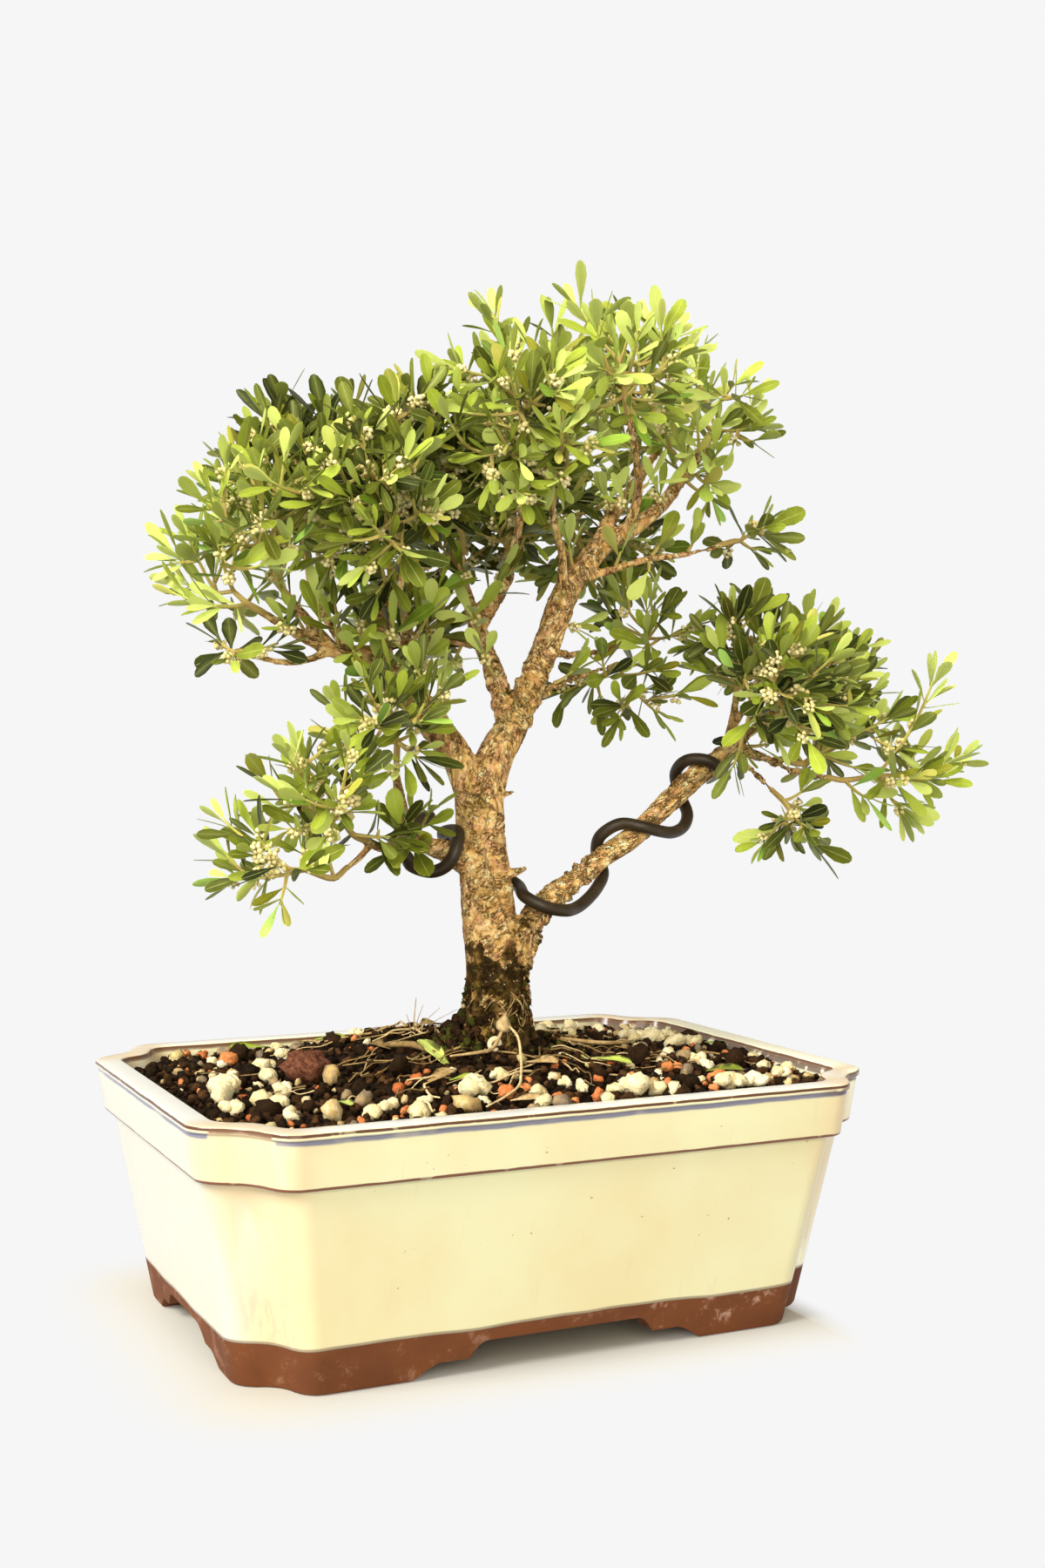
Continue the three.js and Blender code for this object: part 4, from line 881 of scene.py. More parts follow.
def woundOn(points, stations):
    points = np.array(points, float)
    line = smoothLine(points[:, :3], 20)
    lengths = lengthsAlong(line)
    tangents = np.gradient(line, axis=0)
    places = []
    for along, degrees, slack in stations:
        centre = np.array([np.interp(along, lengths, line[:, k]) for k in range(3)])
        tangent = unit(np.array([np.interp(along, lengths, tangents[:, k]) for k in range(3)]))
        front = unit(np.cross(tangent, (0, 0, 1)))
        top = np.cross(front, tangent)
        reach = np.interp(along, lengths[::20], points[:, 3]) + wire["radius"] + wire["seat"] + slack
        turn = math.radians(degrees)
        places.append(centre + top * math.cos(turn) * reach + front * math.sin(turn) * reach)
    return places


def makeWire():
    stations = woundOn(leftWound, leftTurns) + behindTrunk + woundOn(limbs["right_lower"], rightTurns)
    line = respace(smoothLine(np.array(stations, float), 12), wire["step"])
    radii = np.full(len(line), wire["radius"])
    first, last = line[0], line[-1]
    # each cut end is drawn in over a hair's breadth
    line = np.vstack([[first], [first + unit(line[1] - first) * 0.25], line[1:-1],
                      [last - unit(last - line[-2]) * 0.25], [last]])
    radii = np.concatenate([[wire["radius"] - 0.3], radii, [wire["radius"] - 0.3]])
    points, faces = tube(line, radii, wire["sides"])
    lengths = lengthsAlong(line)
    fromEnd = np.minimum(lengths, lengths[-1] - lengths)
    worn = 0.42 * np.clip(1 - fromEnd / wire["wornEnd"], 0, 1) ** 1.5
    worn[[0, -1]] = 0.9
    tone = np.concatenate([np.repeat(worn, wire["sides"]), [1.0, 1.0]])
    piece = addPiece("wound_wire", points, faces, [wireCoat], values={"tone": tone})
    pick(piece)
    bpy.ops.object.shade_smooth_by_angle(angle=math.radians(40))
    return finishPiece(piece, "wire_dark", "training_wire")


makeWire()
print("wire ready")


# Foliage: every spray is grown by the construction's rule, with more shoots and real leaves
leaf = {
    "long": (8.5, 17.0), "wide": (0.285, 0.375), "thick": 0.34, "pairStep": 4.5, "curl": 0.17, "fold": 0.14,
    "rows": [(0.0, 0.08), (0.2, 0.27), (0.42, 0.68), (0.66, 1.0), (0.86, 0.86), (0.965, 0.46)],
}
growth = {"gap": 0.3, "shortest": 9.0, "sag": 0.1, "pathWeight": 0.35, "crowding": 0.088, "budShare": 0.66,
          "outside": 5.0, "clear": 1.2, "twigSides": 5}
sprays = {  # centre, reach, branch it grows from, share of young leaves
    "left_tip": ("left_main", (-86, 2, 239), (16, 30, 20), 0.74),
    "left_fork": ("left_fork", (-76, -10, 262), (20, 30, 21), 0.54),
    "left_mid": ("left_mid", (-53, 30, 278), (22, 32, 26), 0.25),
    "left_up": ("left_up", (-46, -28, 262), (20, 26, 26), 0.35),
    "left_back": ("left_back", (-15, 66, 281), (27, 30, 31), 0.25),
    "left_low": ("left_low", (-80, 0, 217), (16, 14, 8), 0.1),
    "mid_left": ("mid_left", (-18, 0, 280), (24, 28, 26), 0.22),
    "mid_right": ("mid_right", (38, 50, 282), (24, 26, 28), 0.28),
    "mid_thin": ("mid_thin", (4, 66, 230), (16, 14, 12), 0.3),
    "mid_back": ("mid_back", (26, 86, 276), (30, 24, 30), 0.24),
    "right_front": ("right_thin", (2, -34, 286), (24, 26, 26), 0.5),
    "right_high": ("right_high", (84, 44, 320), (28, 28, 30), 0.62),
    "right_out": ("right_out", (90, 0, 298), (16, 26, 26), 0.7),
    "right_twig": ("right_twig", (109, 3, 261), (11, 11, 9), 0.3),
    "right_low": ("right_low", (68, 20, 208), (24, 22, 15), 0.42),
    "right_side": ("right_side", (84, 35, 234), (19, 25, 15), 0.4),
    "right_back": ("right_back", (84, 74, 268), (28, 26, 28), 0.38),
    "top_left": ("crown_left", (22, 10, 314), (24, 28, 20), 0.58),
    "top_right": ("crown_right", (46, -22, 310), (27, 26, 19), 0.75),
    "low_up": ("low_left", (-35, -14, 196), (20, 24, 20), 0.4),
    "low_mid": ("low_left_out", (-58, -14, 173), (22, 24, 18), 0.4),
    "low_out": ("low_left_down", (-72, -12, 150), (22, 20, 15), 0.45),
    "pad_up": ("pad_up", (111, 6, 222), (19, 24, 17), 0.3),
    "pad_front": ("pad_front", (104, -36, 206), (20, 22, 20), 0.32),
    "pad_out": ("pad_out", (150, 6, 192), (24, 26, 20), 0.5),
    "pad_tip": ("pad_tip", (166, -18, 178), (24, 22, 18), 0.6),
    "pad_in": ("pad_in", (158, 32, 214), (26, 26, 22), 0.35),
    "pad_low": ("pad_low", (121, -12, 160), (18, 18, 13), 0.3),
}
firstShoots = {
    "left_fork": 2, "left_low": 1, "mid_right": 2, "mid_thin": 1, "right_twig": 1, "right_low": 2,
    "right_side": 2, "right_back": 2, "low_out": 2, "pad_in": 2, "pad_low": 2,
}
fullness = {
    "left_tip": 0.32, "left_fork": 0.72, "left_mid": 1.1, "left_up": 1.1, "left_back": 0.95,
    "left_low": 0.41, "mid_left": 1.3, "right_front": 1.0, "mid_right": 1.4, "mid_thin": 1.7,
    "mid_back": 1.3, "right_twig": 0.6, "right_high": 0.75, "right_out": 0.6, "right_low": 0.42,
    "right_side": 0.42, "right_back": 0.8, "top_left": 0.56, "top_right": 0.6, "low_up": 0.76,
    "low_out": 0.36, "low_mid": 0.6, "pad_tip": 0.3, "pad_out": 0.56, "pad_low": 0.4,
}
# shoots that the scattered ones miss, at the outline and in front of the limbs: the last leaf's tip,
# and an age
outerShoots = {
    "top_left": [((12, 15, 344), 0.2)], "top_right": [((26, -12, 341), 0.25), ((42, -19, 337), 0.2)],
    "right_high": [((105, 35, 346), 0.1), ((84, 40, 350), 0.2)],
    "right_out": [((117, -1, 303), 0.25), ((112, -4, 318), 0.1)], "right_twig": [((122, -5, 258), -0.1)],
    "left_tip": [((-107, 12, 243), 0.3), ((-106, 12, 254), 0.3), ((-99, -8, 229), 0.2)],
    "left_fork": [((-98, -14, 270), 0.2), ((-69, -14, 231), -0.2), ((-75, -18, 243), 0.1)],
    "left_up": [((-58, -34, 296), -0.2), ((-66, -19, 240), -0.2), ((-57, -20, 231), -0.3),
                ((-48, -24, 227), -0.2), ((-54, -25, 245), -0.1), ((-43, -30, 239), -0.3)],
    "left_low": [((-63, -10, 215), -0.3), ((-92, 5, 211), -0.3)],
    "mid_thin": [((12, 62, 240), 0.1), ((-1, 62, 216), 0.2)],
    "low_out": [((-94, -1, 168), 0.1), ((-90, -3, 151), -0.3), ((-65, -15, 139), -0.4),
                ((-53, -21, 160), 0.1)],
    "low_up": [((-28, -17, 211), 0.4), ((-14, -23, 212), 0.5), ((-24, -27, 178), -0.2)],
    "low_mid": [((-72, -20, 187), 0.4), ((-30, -26, 157), -0.3), ((-38, -24, 150), -0.3),
                ((-40, -22, 168), 0.1)],
    "pad_tip": [((178, -23, 219), 0.3), ((185, -27, 186), 0.5), ((172, -21, 160), 0.4),
                ((180, -24, 203), 0.4)],
    "pad_low": [((129, -16, 150), -0.1), ((112, -8, 160), -0.3)],
    "pad_up": [((104, 4, 243), 0.2), ((122, 8, 243), -0.1)],
    "pad_front": [((94, -8, 170), -0.35), ((101, -12, 178), -0.3), ((88, -14, 192), 0.1)],
    "pad_in": [((148, 20, 243), -0.1)],
}


# short shoots straight from a limb: where it leaves the limb, the last leaf's tip, an age
limbShoots = {
    "left_up": [((-38, 5, 216), (-42, -14, 236), -0.1), ((-45, 4, 217), (-55, -16, 228), -0.2),
                ((-31, 7, 214), (-33, -18, 226), -0.2), ((-31, 7, 214), (-44, -12, 206), -0.3),
                ((-38, 5, 216), (-49, -16, 217), 0.0)],
    "left_fork": [((-52, 2, 219), (-60, -16, 236), 0.1), ((-60, 1, 222), (-72, -14, 226), -0.1),
                  ((-56, 2, 220), (-63, 14, 240), 0.0)],
    "left_mid": [((-42, 12, 222), (-50, 0, 240), -0.2), ((-36, 6, 215), (-34, 22, 236), -0.2),
                 ((-26, 7, 209), (-27, 24, 228), -0.2)],
    "left_back": [((-17, 18, 218), (-12, 0, 236), -0.2), ((-14, 26, 224), (-22, 12, 240), -0.2),
                  ((-20, 12, 212), (-14, -4, 218), -0.1), ((-12, 30, 227), (-2, 14, 244), 0.0)],
    "mid_thin": [((16, 28, 223), (4, 12, 236), -0.1), ((13, 39, 223), (2, 28, 212), 0.0),
                 ((17, 18, 209), (4, 6, 222), -0.2)],
    "mid_left": [((12, 32, 240), (2, 14, 250), -0.2), ((14, 33, 234), (24, 20, 250), -0.1)],
    "low_mid": [((-22, 1, 156), (-27, -15, 168), 0.0), ((-27, -1, 155), (-34, -22, 163), -0.2),
                ((-22, 1, 156), (-29, -22, 154), -0.2), ((-30, -2, 154), (-37, -22, 151), -0.3),
                ((-20, 2, 156), (-24, -24, 168), 0.0)],
    "right_back": [((40, 20, 232), (52, 12, 226), -0.2)],
    "right_low": [((33, 10, 207), (45, 2, 216), -0.1)],
    "right_out": [((66, 8, 264), (57, 3, 278), 0.0), ((76, 6, 272), (68, -2, 280), 0.1),
                  ((84, 6, 282), (96, -3, 272), -0.1), ((84, 6, 282), (93, -4, 285), 0.0)],
    "right_high": [((62, 17, 269), (54, 12, 279), 0.0), ((74, 23, 281), (63, 21, 290), 0.1)],
    "right_front": [((44, 12, 246), (37, 4, 262), -0.1)],
    "right_twig": [((59, 10, 249), (61, 4, 261), -0.1), ((72, 8, 253), (78, 2, 264), -0.2),
                   ((86, 6, 255), (90, 1, 266), 0.0), ((72, 8, 253), (69, 3, 242), -0.2)],
    "top_right": [((61, -4, 275), (67, -12, 281), 0.0)], "pad_out": [((112, 12, 186), (124, -6, 190), 0.2)],
}


def leafPattern():
    # one leaf, lying along X with its face up: five points across the top, one under the rib
    points, uv, under, faces = [], [], [], []
    for along, half in leaf["rows"]:
        for across in (-1, -0.5, 0, 0.5, 1):
            points.append((along, across * half, 0.0))
            uv.append((0.5 + across / 2, along))
            under.append(0.0)
        points.append((along, 0.0, -1.0))
        uv.append((0.5, along))
        under.append(2.0)
    points.append((1.0, 0.0, 0.0))
    uv.append((0.5, 1.0))
    under.append(0.0)
    rows = len(leaf["rows"])
    for k in range(rows - 1):
        a, b = k * 6, k * 6 + 6
        faces += [[a + i, b + i, b + i + 1, a + i + 1] for i in range(4)]
        faces += [[a + 4, b + 4, b + 5, a + 5], [a + 5, b + 5, b, a]]
    last, tip = (rows - 1) * 6, rows * 6
    faces += [[last + i, tip, last + i + 1] for i in range(4)]
    faces += [[last + 4, tip, last + 5], [last + 5, tip, last]]
    faces += [[0, 1, 2, 3, 4, 5]]
    return np.array(points), faces, np.array(uv), np.array(under)


leafPoints, leafFaces, leafUv, leafUnder = leafPattern()
leafFaces = [face[::-1] for face in leafFaces]


def budPattern():
    bpy.ops.object.select_all(action="DESELECT")
    bpy.ops.mesh.primitive_ico_sphere_add(subdivisions=1, radius=1.0)
    ball = bpy.context.object
    points = np.array([v.co[:] for v in ball.data.vertices])
    faces = [list(p.vertices) for p in ball.data.polygons]
    bpy.data.objects.remove(ball)
    return points, faces


budPoints, budFaces = budPattern()


def scattered(index, base):
    value, share, rest = 0.0, 1 / base, index
    while rest > 0:
        value += share * (rest % base)
        rest //= base
        share /= base
    return value


def shootTarget(centre, reach, index, inner):
    height = 1 - 2 * scattered(index, 2)
    turn = scattered(index, 3) * math.pi * 2
    far = inner + (1 - inner) * scattered(index, 5)
    ring = math.sqrt(1 - height * height)
    return np.array(centre) + far * np.array([math.cos(turn) * ring, math.sin(turn) * ring, height]) * reach


class Foliage:
    # one spray: its twigs, leaves and buds go into one pile
    taken = {}

    def __init__(self, name, number):
        self.name, self.number = name, number
        self.branch, self.centre, self.reach, self.young = sprays[name]
        self.centre, self.reach = np.array(self.centre, float), np.array(self.reach, float)
        self.draw = drawFrom(977 * number + 5)
        self.pile = Pile()
        self.leaves = 0
        limb = np.array(limbs[self.branch], float)
        along = unit(limb[-1, :3] - limb[-2, :3])
        base = limb[-1, :3] - along * 1.5
        knee = limb[-1, :3] + along * (growth["gap"] + 5)
        toward = knee + (self.centre - knee) * min(0.5, 14 / np.linalg.norm(self.centre - knee))
        self.nodes = [(knee, 5.0), (toward, 5 + np.linalg.norm(toward - knee))]
        self.twig([base, limb[-1, :3], knee, toward], [limb[-1, 3], limb[-1, 3], 1.1, 0.85], 0.1, 0.3)

    def twig(self, line, radii, toneFrom, toneTo):
        line = np.column_stack([np.array(line, float), radii])
        fine = smoothLine(line, 4)
        points, faces = tube(fine[:, :3], fine[:, 3], growth["twigSides"], bud=0.4)
        tone = np.repeat(np.linspace(toneFrom, toneTo, len(fine)), growth["twigSides"])
        self.pile.add(points, faces, 1, tone=np.concatenate([tone, [toneFrom, toneTo]]))

    def fits(self, places):
        world = places + potCentre / mm
        low, high = np.array(cadLow) / mm - growth["outside"], np.array(cadHigh) / mm + growth["outside"]
        if (world < low).any() or (world > high).any():
            return False
        if any(nearestWood(place)[1] < 0.6 for place in places):
            return False
        cells = [tuple(np.floor(place / 3).astype(int)) for place in places]
        for place, cell in zip(places, cells):
            for dx in (-1, 0, 1):
                for dy in (-1, 0, 1):
                    for dz in (-1, 0, 1):
                        for other in Foliage.taken.get((cell[0] + dx, cell[1] + dy, cell[2] + dz), ()):
                            if np.abs(other - place).max() < growth["clear"]:
                                return False
        for place, cell in zip(places, cells):
            Foliage.taken.setdefault(cell, []).append(place)
        return True

    def blade(self, root, forward, face, length, width, tone, curl, fold):
        side = np.cross(face, forward)
        along, across, level = leafPoints.T
        # the widest place lies nearer the tip on some leaves than on others
        x = along ** (0.85 + 0.45 * next(self.draw)) * length
        y = across * width / 2
        lift = (-curl * length * along ** 2 + fold * width * np.abs(across)
                + level * leaf["thick"] * (1 - along * 0.6))
        places = root + x[:, None] * forward + y[:, None] * side + lift[:, None] * face
        middle = root + np.array([0.42, 0.68, 0.95])[:, None] * length * forward
        middle = middle - (curl * length * np.array([0.18, 0.46, 0.9]))[:, None] * face
        if not self.fits(middle):
            return
        self.leaves += 1
        tones = np.clip(tone + 0.07 * (along - 0.5), 0, 1)
        # the whole part of the second UV value numbers the leaf, so that the finish can tell leaves apart
        numbered = leafUv * [1, 0.98] + [0, 0.01 + self.leaves % 97]
        self.pile.add(places, leafFaces, 0, numbered, tones, leafUnder)

    def buds(self, place, along, outward):
        count = 6 + int(next(self.draw) * 7)
        for i in range(count):
            turn = i * 2.4
            height = 1 - 1.6 * (i + 0.5) / count
            ring = math.sqrt(max(1 - height * height, 0))
            side = unit(np.cross(along, outward) + 1e-6)
            ball = (outward * height + side * ring * math.cos(turn)
                    + np.cross(outward, side) * ring * math.sin(turn))
            radius = 0.66 + 0.36 * next(self.draw)
            centre = place + outward * 1.5 + ball * 1.65
            tone = 0.3 + 0.7 * next(self.draw)
            self.pile.add(centre + budPoints * radius, budFaces, 2, tone=tone)

    def dress(self, line, age):
        # opposite leaves along a shoot, each pair at right angles to the last
        line = respace(np.array(line, float), 0.8)
        lengths = lengthsAlong(line)
        total = lengths[-1]
        frames = framesAlong(line, unit(np.array([0.3, 0.2, 1.0])))
        reachOut = np.linalg.norm((line[-1] - self.centre) / self.reach)
        back, pair = 0.0, 0
        bare = total * (0.25 + 0.25 * next(self.draw))
        flowers = next(self.draw) < growth["budShare"] * (1.25 - self.young)
        while back < total - bare and pair < 7:
            spot = np.searchsorted(lengths, total - back)
            spot = min(spot, len(line) - 1)
            along, across, lift = frames[spot]
            for side in (0, 1):
                turn = math.pi * (0.25 + side + 0.5 * (pair % 2)) + 0.5 * (next(self.draw) - 0.5)
                out = across * math.cos(turn) + lift * math.sin(turn)
                opened = 14 if pair == 0 else 24 + 9 * min(pair, 3)
                spread = math.radians(opened + 30 * (next(self.draw) - 0.35))
                forward = unit(along * math.cos(spread) + out * math.sin(spread))
                face = along * math.sin(spread) - out * math.cos(spread)
                light = unit(line[-1] - self.centre) * 0.5 + np.array([-0.25, -0.2, 0.8])
                light = unit(light - forward * (light @ forward))
                face = unit(face * (1.2 - 0.9 * next(self.draw)) + light * 0.5)
                face = unit(face - forward * (face @ forward)
                            + np.cross(face, forward) * 1.5 * (next(self.draw) - 0.5))
                size = next(self.draw) * (0.6 + 0.4 * next(self.draw))
                grown = 0.2 if self.young + age < 0.3 else 0.15 if self.young > 0.55 else 0.0
                size = min(1.0, size + grown)
                short, long = leaf["long"]
                length = short + (long - short) * size * (0.75 if pair == 0 else 1)
                slim, broad = leaf["wide"]
                narrow = min(1, max(0, 1.6 * (self.young + age)))
                width = length * (broad + (slim - broad) * narrow) * (0.8 + 0.45 * next(self.draw))
                fresh = self.young + age + (0.2 if pair == 0 else -0.08 * pair) + 0.26 * (reachOut - 0.85)
                fresh += 0.42 * (next(self.draw) - 0.5) + (0.3 if next(self.draw) < 0.13 else 0.0)
                curl = leaf["curl"] * (next(self.draw) - 0.3)
                fold = leaf["fold"] * (next(self.draw) * 1.3 - 0.3)
                self.blade(line[spot] + out * 0.4, forward, face, length, width,
                           float(np.clip(0.12 + 0.95 * fresh, 0.02, 1)), curl, fold)
            if flowers and pair < 4 and next(self.draw) < 0.5:
                out = across * math.cos(turn + 1.57) + lift * math.sin(turn + 1.57)
                if out @ (line[spot] - self.centre) < 0:
                    out = -out
                self.buds(line[spot], along, out)
            sparse = 0.55 if pair == 0 else 1 + 0.25 * self.young
            back += leaf["pairStep"] * (0.8 + 0.4 * next(self.draw)) * sparse
            pair += 1

    def shoot(self, target, age=0.0, tipLeaf=0.0, limbPlace=None):
        target = np.array(target, float)
        if limbPlace is None:
            weight = growth["pathWeight"]
            origin, path = min(self.nodes, key=lambda n: np.linalg.norm(n[0] - target) + weight * n[1])
        else:
            origin, path = np.array(limbPlace, float), 0.0
            while nearestWood(origin)[1] < -0.3:
                origin = origin + unit(target - origin) * 0.4
        target = target - unit(target - origin) * tipLeaf
        span = np.linalg.norm(target - origin)
        sag = span * growth["sag"] * (0.4 + 1.2 * next(self.draw))
        bend = (origin + target) / 2 - np.array([0, 0, sag])
        t = np.linspace(0, 1, 4)[:, None]
        line = origin * (1 - t) ** 2 + 2 * bend * t * (1 - t) + target * t ** 2
        self.twig(line, [0.75, 0.64, 0.54, 0.42], 0.25, 0.6 + 0.4 * self.young)
        self.nodes += [(line[k], path + span * k / 3) for k in (1, 2)]
        self.dress(smoothLine(line, 6), age)

    def grow(self):
        first = firstShoots.get(self.name, 3)
        wanted = np.prod(self.reach) ** (2 / 3) * growth["crowding"] * fullness.get(self.name, 1.0)
        wanted = int(round(wanted))
        wanted = max(wanted, first + 2)
        made, index = 0, 0
        while made < wanted and index < wanted * 6:
            index += 1
            inner = 0.72 if made < first else 0.22
            target = shootTarget(self.centre, self.reach, index + self.number * 5, inner)
            nearest = min(np.linalg.norm(n[0] - target) for n in self.nodes)
            if nearest > growth["shortest"] * (1 if made < first else 0.62):
                self.shoot(target, 0.6 * (next(self.draw) - 0.42))
                made += 1
            if made == first + 2:
                for tip, age in outerShoots.get(self.name, ()):
                    self.shoot(tip, age, 10.0)
                for place, tip, age in limbShoots.get(self.name, ()):
                    self.shoot(tip, age, 7.0, place)
                made += 1
        skins = [leafSkin, speckled["stemSkin"], speckled["budSkin"]]
        piece = self.pile.piece("leaves_" + self.name, skins)
        pick(piece)
        bpy.ops.object.shade_smooth_by_angle(angle=math.radians(55))
        return finishPiece(piece, "leaf", "spray_" + self.name)


leafTotal = 0
for number, name in enumerate(sprays):
    spray = Foliage(name, number)
    spray.grow()
    leafTotal += spray.leaves
print("foliage ready:", leafTotal, "leaves")


# Soil: a bed that fills the pot, covered with loose grains, stones and litter
soil = {
    "edge": 76.5, "peak": 88.0, "mound": 92.0, "trunk": (11.0, 5.0), "under": 1.0, "gap": 0.3,
    "shares": (0.96, 0.9, 0.82, 0.73, 0.64, 0.55, 0.46, 0.38, 0.3, 0.23, 0.17), "hole": 71.0,
    "heap": 5.0, "crumbStep": 3.9, "stoneStep": 8.2, "meshSide": 23.0, "pocket": 3.3,
}
stones = {
    "pumice": [(-86.8, -2.7, 11), (-91, -16.9, 10), (-78.6, 18, 7), (-75.8, 49.5, 6), (-46, 70, 6),
               (-59.4, 35.3, 6), (-65.4, 26.5, 7.5), (-68.3, 9.1, 7), (-51.7, 46, 6.5), (-71.8, -15, 6.5),
               (-91.9, -33.4, 8), (-81.5, -26.4, 7), (-78.4, -31.8, 6.5), (-80.5, -50.7, 6),
               (-14.5, 70, 7), (-20.5, -50.2, 10.5), (-7, -38.3, 6), (-3.7, -58.7, 6), (-37.2, -49.3, 5),
               (-50.8, -51.3, 6.5), (-56.9, -57.6, 6), (-21.6, -58.6, 4.5), (-45.5, -65.3, 7),
               (9.6, -51.3, 5.5), (60, 66, 7), (70, 64, 8), (78, 58, 6), (77.5, 18, 9.5), (84.5, 13.5, 8),
               (73, 23, 8), (80, 26.5, 7), (94, 15.3, 8), (95, 36.4, 6), (69, 15, 6.5), (73.3, -23.4, 7),
               (69.4, -36.8, 5.5), (66.9, -14.3, 5), (22.2, -60, 6), (27.8, -64.5, 9.5), (34.3, -65.4, 7),
               (39.6, -66.3, 6), (62.1, -62.4, 9.5), (72.2, -61.3, 9), (92.4, -35.1, 6), (89, -50.5, 6),
               (97.8, -41.6, 5), (80, -48.9, 5), (11.6, -58.7, 5), (38.5, 30, 8), (47, 22, 6)],
    "gravel": [(-66.1, 68, 6.5), (-69.2, -56.5, 9.5), (-54, -41.8, 6.5), (-62.4, -3.6, 4),
               (61.5, -6.3, 5.5), (9.2, -43.7, 5), (-29.2, -62.8, 10), (-42.5, -46.3, 3.5),
               (70.1, -19.7, 7), (-1.2, 17.9, 4.5), (-53.4, -9.5, 9), (-56, -31.7, 5.5)],
    "lava": [(-70, 51, 7), (-30, 33.2, 3.5), (-39, -32.5, 5), (-30, -24.8, 5), (-13.5, -57.1, 6),
             (-0.9, -45.8, 3), (-4.8, -52.3, 4), (14.2, -34.1, 3.5), (-36.2, -61.7, 4), (52.9, -39, 4.5),
             (59.9, -34.3, 5), (21.9, -49.9, 4.5), (12.9, -67.2, 5.5), (44.2, -55.1, 4.5),
             (40.2, -56.2, 3.5), (64, -53, 7.5), (55.9, -63.6, 4), (30.7, -55.6, 6), (80, -5, 4),
             (-33.5, -28, 4)],
    "dark": [(-71.3, 20.1, 7), (-83.8, -41.1, 9), (-34.6, 41.9, 9), (-32.7, -15.2, 9), (-49.3, -23.8, 7),
             (85.2, -28.4, 9), (50.1, -60, 8), (49.6, -23.9, 10), (97, -13.2, 7), (94, -25, 6), (98, 3, 6),
             (98, 24, 8), (-64, 58, 8)],
}
litter = {
    "green": [(-16.5, -10, 113, 20, 7.2, 0.97, 34), (34.5, -33, -62, 17, 5.5, 0.82, 4),
              (-61.5, -42, -80, 13, 5.0, 0.9, 8), (-56, 73, 175, 14, 5.4, 0.62, 6),
              (70.5, -43.5, -42, 15, 6.6, 0.5, 10), (-18.5, -34.5, 12, 10, 2.6, 0.72, 8),
              (99, 8, -82, 12, 4.6, 0.66, 4), (-31, 55, 20, 15, 4.2, 0.74, 2),
              (-13, 66, 10, 14, 4.6, 0.6, 3)],
    "dry": [(-26, -33, 30, 16, 5.5, 0.55, 14), (9.5, -33.8, -35, 11, 6.4, 0.62, 6),
            (-10.1, -65, 5, 12, 4.6, 0.75, 3), (16, 20, 30, 13, 4.2, 0.3, 4),
            (-28.3, 12.5, 120, 9, 6, 0.2, 12), (60, 5, 75, 10, 4.4, 0.35, 5), (-3, 34, 40, 12, 5, 0.4, 4)],
}


def soilHeight(x, y):
    away = math.hypot(x - soil["trunk"][0], y - soil["trunk"][1])
    t = min(max(1 - away / soil["mound"], 0.0), 1.0)
    lumps = math.sin(x * 0.31 + 1.3) * math.cos(y * 0.27) * 0.8
    heap = math.exp(-((x + 14) / 27) ** 2 - ((y - 36) / 21) ** 2)
    return (soil["heap"] * heap + soil["edge"] + (soil["peak"] - soil["edge"]) * t ** 1.3
            + lumps * min(1.0, t * 4))


soilOutline = potOutline(insetOf(cavityAt(soil["edge"]), soil["gap"]), 3)


def inPot(x, y, margin):
    # inside the pot's wall by more than the margin
    here = np.array([x, y])
    ahead = np.roll(soilOutline, -1, axis=0)
    edges = ahead - soilOutline
    t = np.clip(((here - soilOutline) * edges).sum(1) / (edges ** 2).sum(1), 0, 1)
    nearest = np.linalg.norm(here - soilOutline - edges * t[:, None], axis=1).min()
    a, b = soilOutline, ahead
    crosses = (a[:, 1] > y) != (b[:, 1] > y)
    at = a[:, 0] + (y - a[:, 1]) / np.where(b[:, 1] == a[:, 1], 1, b[:, 1] - a[:, 1]) * (b[:, 0] - a[:, 0])
    return bool((crosses & (x < at)).sum() % 2) and nearest > margin


def makeBed():
    edge = potOutline(insetOf(cavityAt(soil["edge"]), soil["gap"]))
    tx, ty = soil["trunk"]
    floor, fillet, gap = pot["floor"], pot["fillet"], soil["gap"]
    rings = [ringAt(floor + gap, insetOf(cavityAt(floor), fillet + gap * 2)),
             ringAt(floor + fillet, insetOf(cavityAt(floor + fillet), gap * 2)),
             ringAt(50, insetOf(cavityAt(50), gap)),
             np.column_stack([edge, np.full(len(edge), soil["edge"] - soil["under"])])]
    for share in soil["shares"]:
        flat = np.array([tx, ty]) + (edge - [tx, ty]) * share
        level = [soilHeight(x, y) - soil["under"] + 0.9 * noise.noise(Vector((x * 0.4, y * 0.4, 0)))
                 for x, y in flat]
        rings.append(np.column_stack([flat, level]))
    piece = addPiece("soil_bed", *loftRings(rings), [crumbSkin])
    foot = np.array(limbs["trunk"][:4], float)
    foot[0, 2] = soil["hole"]
    cutAway(piece, *tube(foot[:, :3], foot[:, 3] + 0.48, 24))
    for side in (-1, 1):
        half = soil["meshSide"] / 2 + soil["gap"] * 2
        corners = np.array([[half, half], [-half, half], [-half, -half], [half, -half]])
        corners = corners + [side * pot["drainX"], 0]
        cutAway(piece, *loftRings([np.column_stack([corners, np.full(4, z)])
                                   for z in (pot["floor"] - 4, pot["floor"] + soil["pocket"])]))
    piece.data.attributes.new("tone", "FLOAT", "POINT").data.foreach_set(
        "value", np.full(len(piece.data.vertices), 0.25, np.float32))
    return finishPiece(piece, "soil_mix", "soil")


